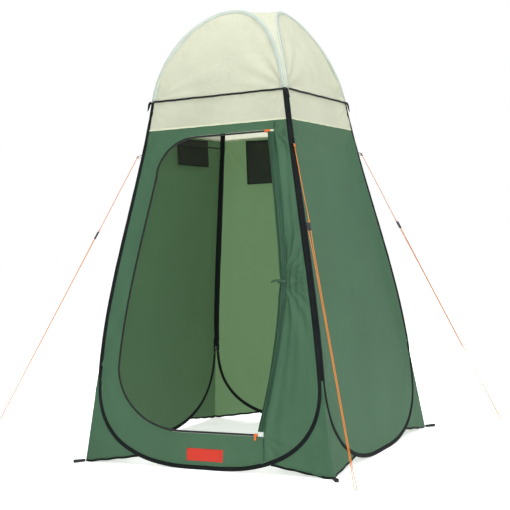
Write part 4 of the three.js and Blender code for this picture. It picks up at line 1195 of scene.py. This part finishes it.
for vertex in roof.data.vertices:
    place = vertex.co
    radial = math.hypot(place.x, place.y)
    towards_arch = min(abs(abs(place.x) - abs(place.y)), 0.08) / 0.08
    free = 1 - float(eased(towards_arch, 0.35, 1.0)) * float(eased(radial, 0.10, 0.22))
    hills = noise.noise(Vector((place.x * 9, place.y * 9, place.z * 6)))
    fans = math.sin(44 * math.atan2(abs(abs(place.x) - abs(place.y)), 2.02 - place.z + 0.03))
    vertex.co = place + vertex.normal * (0.0032 * hills * free
                                         + 0.0010 * fans * free * min(1, radial / 0.2))
dress(roof, cream_cloth, "tent", "cream_cloth", "roof_star")


# ---- Ring tape ----
# A narrow black tape is sewn round the foot of the roof. Each wall's tape passes the corner
# and ends in a loose pointed tail.

RING_HALF = 0.342
RING_STAND = 0.0066
TAPE = (0.0090, 0.0024)
ring_black = webbing_material("ring_tape", (0.010, 0.013, 0.014), 0.0014)
start = RING_HALF - 0.0155
y = -RING_HALF - RING_STAND
out = RING_HALF + RING_STAND
straight = np.stack([np.linspace(-start, start, 90), np.full(90, y),
                     np.full(90, RING_HEIGHT)], -1)
tail = smooth_path([(start, y, RING_HEIGHT), (out - 0.007, y, RING_HEIGHT - 0.002),
                    (out, y - 0.001, RING_HEIGHT - 0.011),
                    (out + 0.005, y - 0.002, RING_HEIGHT - 0.026),
                    (out + 0.012, y - 0.003, RING_HEIGHT - 0.041)], 8)
line = np.concatenate([straight, tail[1:]])
travelled = distances(line)
line[:, 2] += 0.0005 * np.sin(travelled * 38) + 0.0003 * np.sin(travelled * 91 + 1)
ahead = unit(np.gradient(line, axis=0))
outwards = unit(np.cross(ahead, (0, 0, 1.0)))
upward = np.cross(outwards, ahead)
taper = np.interp(travelled[-1] - travelled, (0, 0.012, 0.028, 0.050, 0.060),
                  (0.30, 0.9, 1.5, 1.45, 1))
h, t = TAPE[0] / 2, TAPE[1] / 2
for turn, wall in enumerate(WALL_NAMES):
    tape = turned_sweep("ring_piping_" + wall, 90 * turn, line, upward, outwards,
                        [(-h, -t * 0.8), (h * 0.5, -t), (h, -t * 0.6), (h, t * 0.6), (h * 0.6, t),
                  (-h * 0.3, t * 0.7), (-h, t * 0.8)], widths=taper)
    dress(tape, ring_black, "tent", "black_binding", "ring_tape_" + wall)


# ---- Gussets ----
# Below the knees a creased green gusset fills each corner between two hoops and stands on
# the ground in a point. Its lower edge is bound with black tape.

BASE_HALF = 0.600
HEM_RISE = 0.040
CORNER_TIP = 0.008
GUSSET_TOP = 0.386
outside = lower_hoop - 0.0035 * np.stack([-unit(np.gradient(lower_hoop, axis=0))[:, 1],
                                          unit(np.gradient(lower_hoop, axis=0))[:, 0]], -1)
heights = np.concatenate([np.linspace(0.0012, HEM_RISE, 12),
                          np.linspace(HEM_RISE, GUSSET_TOP, 60)[1:]])
hem_x = float(edge_x(outside, HEM_RISE))
tip = BASE_HALF - CORNER_TIP
side_x = np.where(heights < HEM_RISE, tip + (hem_x - tip) * heights / HEM_RISE,
                  edge_x(outside, heights))
crease = BASE_HALF + (float(half_width(GUSSET_TOP)) - BASE_HALF) * heights / GUSSET_TOP
front_edge = np.stack([side_x, -half_width(heights), heights], -1)
fold = np.stack([crease, -crease, heights], -1)
right_edge = np.stack([half_width(heights), -side_x, heights], -1)
share = np.linspace(0, 1, 19)[:, None]
wings = [a[:, None] * (1 - share) + b[:, None] * share
         for a, b in ((front_edge, fold), (fold, right_edge))]
wings = np.concatenate([wings[0], wings[1][:, 1:]], 1)
place = np.linspace(0, 2, wings.shape[1])
room = np.sin(math.pi * (place % 1)) ** 0.7 * eased(GUSSET_TOP - heights, 0, 0.05)[:, None]
for turn, corner in enumerate(("front_right", "back_right", "back_left", "front_left")):
    slack = cloth_noise(wings[..., 0] * 5 + wings[..., 1] * 5, wings[..., 2] * 1.2, 0.22,
                        90.0 + turn)
    puff = 0.0050 * slack * room + 0.0035 * room * np.sin(heights * 55 + turn)[:, None]
    cloth = wings + puff[..., None] * np.array((1, -1, 0.2)) / math.sqrt(2.04)
    piece = make_piece("corner_gusset_" + corner, turned(cloth, 90 * turn),
                       grid_faces(*cloth.shape[:2]),
                       np.stack([wings[..., 0] - wings[..., 1], wings[..., 2]], -1))
    dress(piece, green_cloth, "tent", "green_cloth", "gusset_" + corner)


# ---- Hem tapes ----
# The gussets' lower edges are bound with narrow black tape, from each hoop to the corner.

HEM_HALF = 0.0048
low = np.linspace(0, 1, 40)
hem_top, hem_tip = front_edge[11], np.array((BASE_HALF - 0.0012, -BASE_HALF + 0.0012, 0.0012))
hem_line = hem_top + (hem_tip - hem_top) * low[:, None]
hem_line[:, 2] = np.maximum(hem_line[:, 2], 0.0056) + 0.0012 * np.sin(low * 19)
mirror_line = np.stack([-hem_line[:, 1], -hem_line[:, 0], hem_line[:, 2]], -1)
for side, line in (("a", hem_line), ("b", mirror_line)):
    ahead = unit(np.gradient(line, axis=0))
    outwards = unit(np.cross(ahead, (0, 0, 1.0))) * (1 if side == "a" else -1)
    upward = np.cross(outwards, ahead)
    for turn, corner in enumerate(("front_right", "back_right", "back_left", "front_left")):
        hem = turned_sweep(f"hem_tape_{side}_{corner}", 90 * turn, line, upward, outwards,
                           flat_section(HEM_HALF, 0.0013))
        dress(hem, binding_tape, "tent", "black_binding")


# ---- Peg loops ----
# A strip of black webbing is sewn into each corner of the floor edge on edge and bent round
# into an eye for the ground peg.

LOOP_START = 0.8502
LOOP_LENGTH = 0.054
EYE_HALF = 0.0065
LOOP_WEBBING = 0.0018
LOOP_HEIGHT = 0.012
bend = np.radians(np.linspace(-90, 90, 17))
centre = LOOP_START + LOOP_LENGTH - EYE_HALF - LOOP_WEBBING
middle = EYE_HALF + LOOP_WEBBING / 2
eye = [(centre + middle * math.cos(a), middle * math.sin(a), LOOP_HEIGHT / 2) for a in bend]
strand = smooth_path([(LOOP_START + 0.001, -0.0014, LOOP_HEIGHT / 2),
                      (LOOP_START + 0.018, -0.0033, LOOP_HEIGHT / 2), *eye,
                      (LOOP_START + 0.018, 0.0033, LOOP_HEIGHT / 2),
                      (LOOP_START + 0.001, 0.0014, LOOP_HEIGHT / 2)], 3)
strand[:, 2] = LOOP_HEIGHT / 2
upward, outwards = edgewise(strand)
h, t = LOOP_HEIGHT / 2, LOOP_WEBBING / 2
loop_material = webbing_material("peg_webbing", (0.020, 0.023, 0.026), 0.0015)
for corner, (degrees, _) in CORNERS.items():
    loop = turned_sweep("peg_webbing_" + corner, degrees, strand, upward, outwards,
                        [(-h, -t * 0.6), (-h * 0.8, -t), (h * 0.8, -t),
                                             (h, -t * 0.6), (h, t * 0.6), (h * 0.8, t),
                                             (-h * 0.8, t), (-h, t * 0.6)])
    dress(loop, loop_material, "loop_" + corner, "black_binding", "peg_loop_" + corner)


# ---- Label on the sill ----
# A red woven label, blank, with its edges stitched down, right of the sill's middle.

LABEL = (0.176, 0.052, 0.001)
LABEL_AT = (0.011, 0.062)


def label_material():
    material, tree, shader = new_material("red_label")
    place = add_node(tree, "TexCoord").outputs["UV"]
    parts = add_node(tree, "SeparateXYZ", Vector=place)
    rib = add_node(tree, "TexWave", wave_type="BANDS", bands_direction="Y", Vector=place,
                   Scale=60)
    cloud = add_node(tree, "TexNoise", Vector=place, Scale=30, Detail=3)
    tint = ramp(tree, cloud.outputs["Fac"], (0.52, 0.022, 0.008, 1), (0.66, 0.034, 0.012, 1))
    rims = []
    for axis, half in ((0, LABEL[0] / 2), (1, LABEL[1] / 2)):
        size = add_node(tree, "Math", operation="ABSOLUTE", i0=parts.outputs[axis])
        off = add_node(tree, "Math", operation="SUBTRACT", i0=size.outputs[0], i1=half - 0.003)
        near_row = add_node(tree, "Math", operation="ABSOLUTE", i0=off.outputs[0])
        rims.append(add_node(tree, "Math", operation="LESS_THAN", i0=near_row.outputs[0],
                             i1=0.0005).outputs[0])
    row = add_node(tree, "Math", operation="MAXIMUM", i0=rims[0], i1=rims[1])
    shown = add_node(tree, "Mix", data_type="RGBA", i0=row.outputs[0], i6=tint.outputs[0],
                     i7=(0.34, 0.012, 0.008, 1))
    lift = add_node(tree, "Bump", Height=rib.outputs["Fac"], Strength=0.3, Distance=0.0003)
    surface(tree, shader, shown.outputs[2], lift.outputs[0], 0.55)
    return material


u = np.linspace(-LABEL[0] / 2, LABEL[0] / 2, 61)[None, :]
v = np.linspace(-LABEL[1] / 2, LABEL[1] / 2, 21)[:, None]
u, v = np.broadcast_arrays(u, v)
rim = np.minimum(LABEL[0] / 2 - np.abs(u), LABEL[1] / 2 - np.abs(v))
puff = 0.0011 + 0.0009 * eased(rim, 0.0, 0.004) - 0.0005 * np.exp(-((rim - 0.003) / 0.0012) ** 2)
puff = puff + 0.0005 * cloth_noise(u, v, 0.03, 111.0) * eased(rim, 0, 0.01)
face = wall_point(LABEL_AT[0] + u, LABEL_AT[1] + v, puff)
label = make_piece("red_sill_label", face, grid_faces(*u.shape), np.stack([u, v], -1))
apply_modifier(label, "SOLIDIFY", thickness=0.0007, offset=-1)
dress(label, label_material(), "tent", "red_label", "sill_label")


# ---- Netting pockets ----
# Two dark netting pockets hang inside from the seam, one on the left wall and one on the
# back wall. Each has a hemmed mouth and sags a little with its own weight.

POCKET_TOP = 1.474
POCKET_DEPTH = 0.014
POCKET_BACK = float(-half_width(SEAM_HEIGHT)) + 0.009


def netting():
    """Fine black netting: round holes in rows, with soft threads between them."""
    material, tree, shader = new_material("black_netting")
    place = add_node(tree, "TexCoord").outputs["UV"]
    cells = add_node(tree, "TexVoronoi", Vector=place, Scale=420, Randomness=0.12)
    hole = add_node(tree, "Math", operation="LESS_THAN", i0=cells.outputs["Distance"], i1=0.16)
    cloud = add_node(tree, "TexNoise", Vector=place, Scale=14, Detail=3)
    tint = ramp(tree, cloud.outputs["Fac"], (0.005, 0.006, 0.006, 1), (0.012, 0.014, 0.013, 1))
    tree.links.new(tint.outputs[0], shader.inputs["Base Color"])
    shader.inputs["Roughness"].default_value = 0.85
    clear = add_node(tree, "BsdfTransparent")
    both = add_node(tree, "MixShader", i0=hole.outputs[0], i1=shader.outputs[0],
                    i2=clear.outputs[0])
    tree.links.new(both.outputs[0], tree.nodes["Material Output"].inputs["Surface"])
    return material


net = netting()
hem_material = webbing_material("pocket_hem", (0.014, 0.016, 0.016), 0.0012)
POCKETS = (("pocket_left", 3, -0.190, 0.100, 0.130), ("pocket_back", 2, -0.085, 0.215, 0.220))
for node, turn, left, right, height in POCKETS:
    u = np.linspace(0, 1, 61)[None, :]
    v = np.linspace(0, 1, 45)[:, None]
    u, v = np.broadcast_arrays(u, v)
    belly = np.sin(math.pi * u) ** 0.5 * np.sin(math.pi * v) ** 0.5
    depth = 0.0015 + (POCKET_DEPTH - 0.0035) * belly * (0.72 + 0.28 * (1 - v))
    creases = 0.0016 * cloth_noise(u * 0.29 * 1.5, v * height * 0.7, 0.045, 7.0 + turn) * belly
    lip = 0.0045 * np.sin(math.pi * u) * eased(v, 0.85, 1.0)
    mouth = 0.005 * np.sin(math.pi * u) * v**3
    inside = np.stack([left + (right - left) * u, POCKET_BACK + depth + creases + lip,
                       POCKET_TOP - height * (1 - v) - mouth], -1)
    bag = make_piece("netting_" + node, turned(inside, 90 * turn), grid_faces(*u.shape),
                     np.stack([(right - left) * u, height * v], -1))
    bag.data.materials.append(net)
    rim = inside[-1]
    upward, outwards = edgewise(rim)
    hem = turned_sweep("hem_" + node, 90 * turn, rim, upward, outwards,
                       [(-0.010, -0.0007), (0.0, -0.0010), (0.0, 0.0010), (-0.010, 0.0007)])
    hem.data.materials.append(hem_material)
    sides = np.concatenate([inside[::-1, 0], inside[0, 1:], inside[1:, -1]])
    sides[:, 1] = POCKET_BACK + 0.0008
    ahead = unit(np.gradient(sides, axis=0))
    facing = np.tile((0.0, 1.0, 0.0), (len(sides), 1))
    binding = swept("edge_" + node, turned(sides, 90 * turn),
                    turned(np.cross(ahead, facing), 90 * turn), turned(facing, 90 * turn),
                    [(-0.004, -0.0006), (0.004, -0.0006), (0.004, 0.0008), (-0.004, 0.0008)])
    binding.data.materials.append(hem_material)
    for piece in (bag, hem, binding):
        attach(piece, "tent")
    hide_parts(node)


# ---- Hanging strap ----
# A thin black strap runs along the left wall from corner to corner, in front of the pocket.

STRAP_HEIGHT = 1.438
strap_clear = float(-half_width(SEAM_HEIGHT)) + 0.009 + POCKET_DEPTH + 0.004
end = float(half_width(STRAP_HEIGHT)) - 0.0105 - 0.017 - 0.003
end_y = -float(half_width(STRAP_HEIGHT)) + 0.006
strap_line = smooth_path([(-end, end_y, STRAP_HEIGHT), (-end + 0.04, strap_clear, STRAP_HEIGHT),
                          (-0.12, strap_clear + 0.001, STRAP_HEIGHT - 0.0015),
                          (0.12, strap_clear + 0.001, STRAP_HEIGHT - 0.0015),
                          (end - 0.04, strap_clear, STRAP_HEIGHT),
                          (end, end_y, STRAP_HEIGHT)], 12)
upward, outwards = edgewise(strap_line)
strap = turned_sweep("strap_webbing", 270, strap_line, upward, outwards,
                     flat_section(0.0035, 0.0007))
dress(strap, loop_material, "tent", "black_binding", "hanging_strap")


# ---- Floor and light ----
# A plain pale studio floor that glows, more strongly to the camera than to the tent, a sky
# that is dimmer on the left, and broad lamps in front on the right, overhead and behind.

world = bpy.data.worlds.new("studio")
bpy.context.scene.world = world
world.use_nodes = True
sky = world.node_tree.nodes["Background"]
sky.inputs["Color"].default_value = (1.0, 1.0, 1.0, 1)
seen = add_node(world.node_tree, "LightPath").outputs["Is Camera Ray"]
way = add_node(world.node_tree, "SeparateXYZ", Vector=add_node(
    world.node_tree, "TexCoord").outputs["Generated"])
dimmer = add_node(world.node_tree, "MapRange", Value=way.outputs["X"], From_Min=-1.0,
                  From_Max=0.6, To_Min=0.10, To_Max=0.90)
strength = add_node(world.node_tree, "Math", operation="MAXIMUM", i0=dimmer.outputs[0], i1=seen)
world.node_tree.links.new(strength.outputs[0], sky.inputs["Strength"])
bpy.context.scene.view_settings.view_transform = "Standard"

bpy.ops.object.select_all(action="DESELECT")
bpy.ops.mesh.primitive_plane_add(size=60, location=(0, 0, -0.0005))
floor = bpy.context.active_object
floor.name = "studio_floor"
floor_material, tree, shader = new_material("studio_floor")
cloud = add_node(tree, "TexNoise", Vector=add_node(tree, "TexCoord").outputs["Object"],
                 Scale=2, Detail=2)
tint = ramp(tree, cloud.outputs["Fac"], (0.90, 0.90, 0.90, 1), (0.94, 0.94, 0.94, 1))
tree.links.new(tint.outputs[0], shader.inputs["Base Color"])
shader.inputs["Roughness"].default_value = 0.9
shader.inputs["Emission Color"].default_value = (1.0, 1.0, 1.0, 1)
glow = add_node(tree, "MapRange", Value=add_node(tree, "LightPath").outputs["Is Camera Ray"],
                To_Min=0.30, To_Max=0.55)
tree.links.new(glow.outputs[0], shader.inputs["Emission Strength"])
floor.data.materials.append(floor_material)


def softbox(name, place, aim, size, power):
    data = bpy.data.lights.new(name, "AREA")
    data.shape = "SQUARE"
    data.size = size
    data.energy = power
    lamp = bpy.data.objects.new(name, data)
    bpy.context.scene.collection.objects.link(lamp)
    lamp.location = place
    lamp.rotation_euler = (Vector(aim) - Vector(place)).to_track_quat("-Z", "Y").to_euler()


softbox("key", (2.6, -5.2, 2.4), (0, 0, 0.9), 1.6, 95)
softbox("top", (0.3, -0.8, 5.0), (0, 0, 1.2), 3.0, 130)
softbox("backdrop", (-0.15, 4.2, 1.3), (-0.1, 0, 1.0), 1.1, 150)
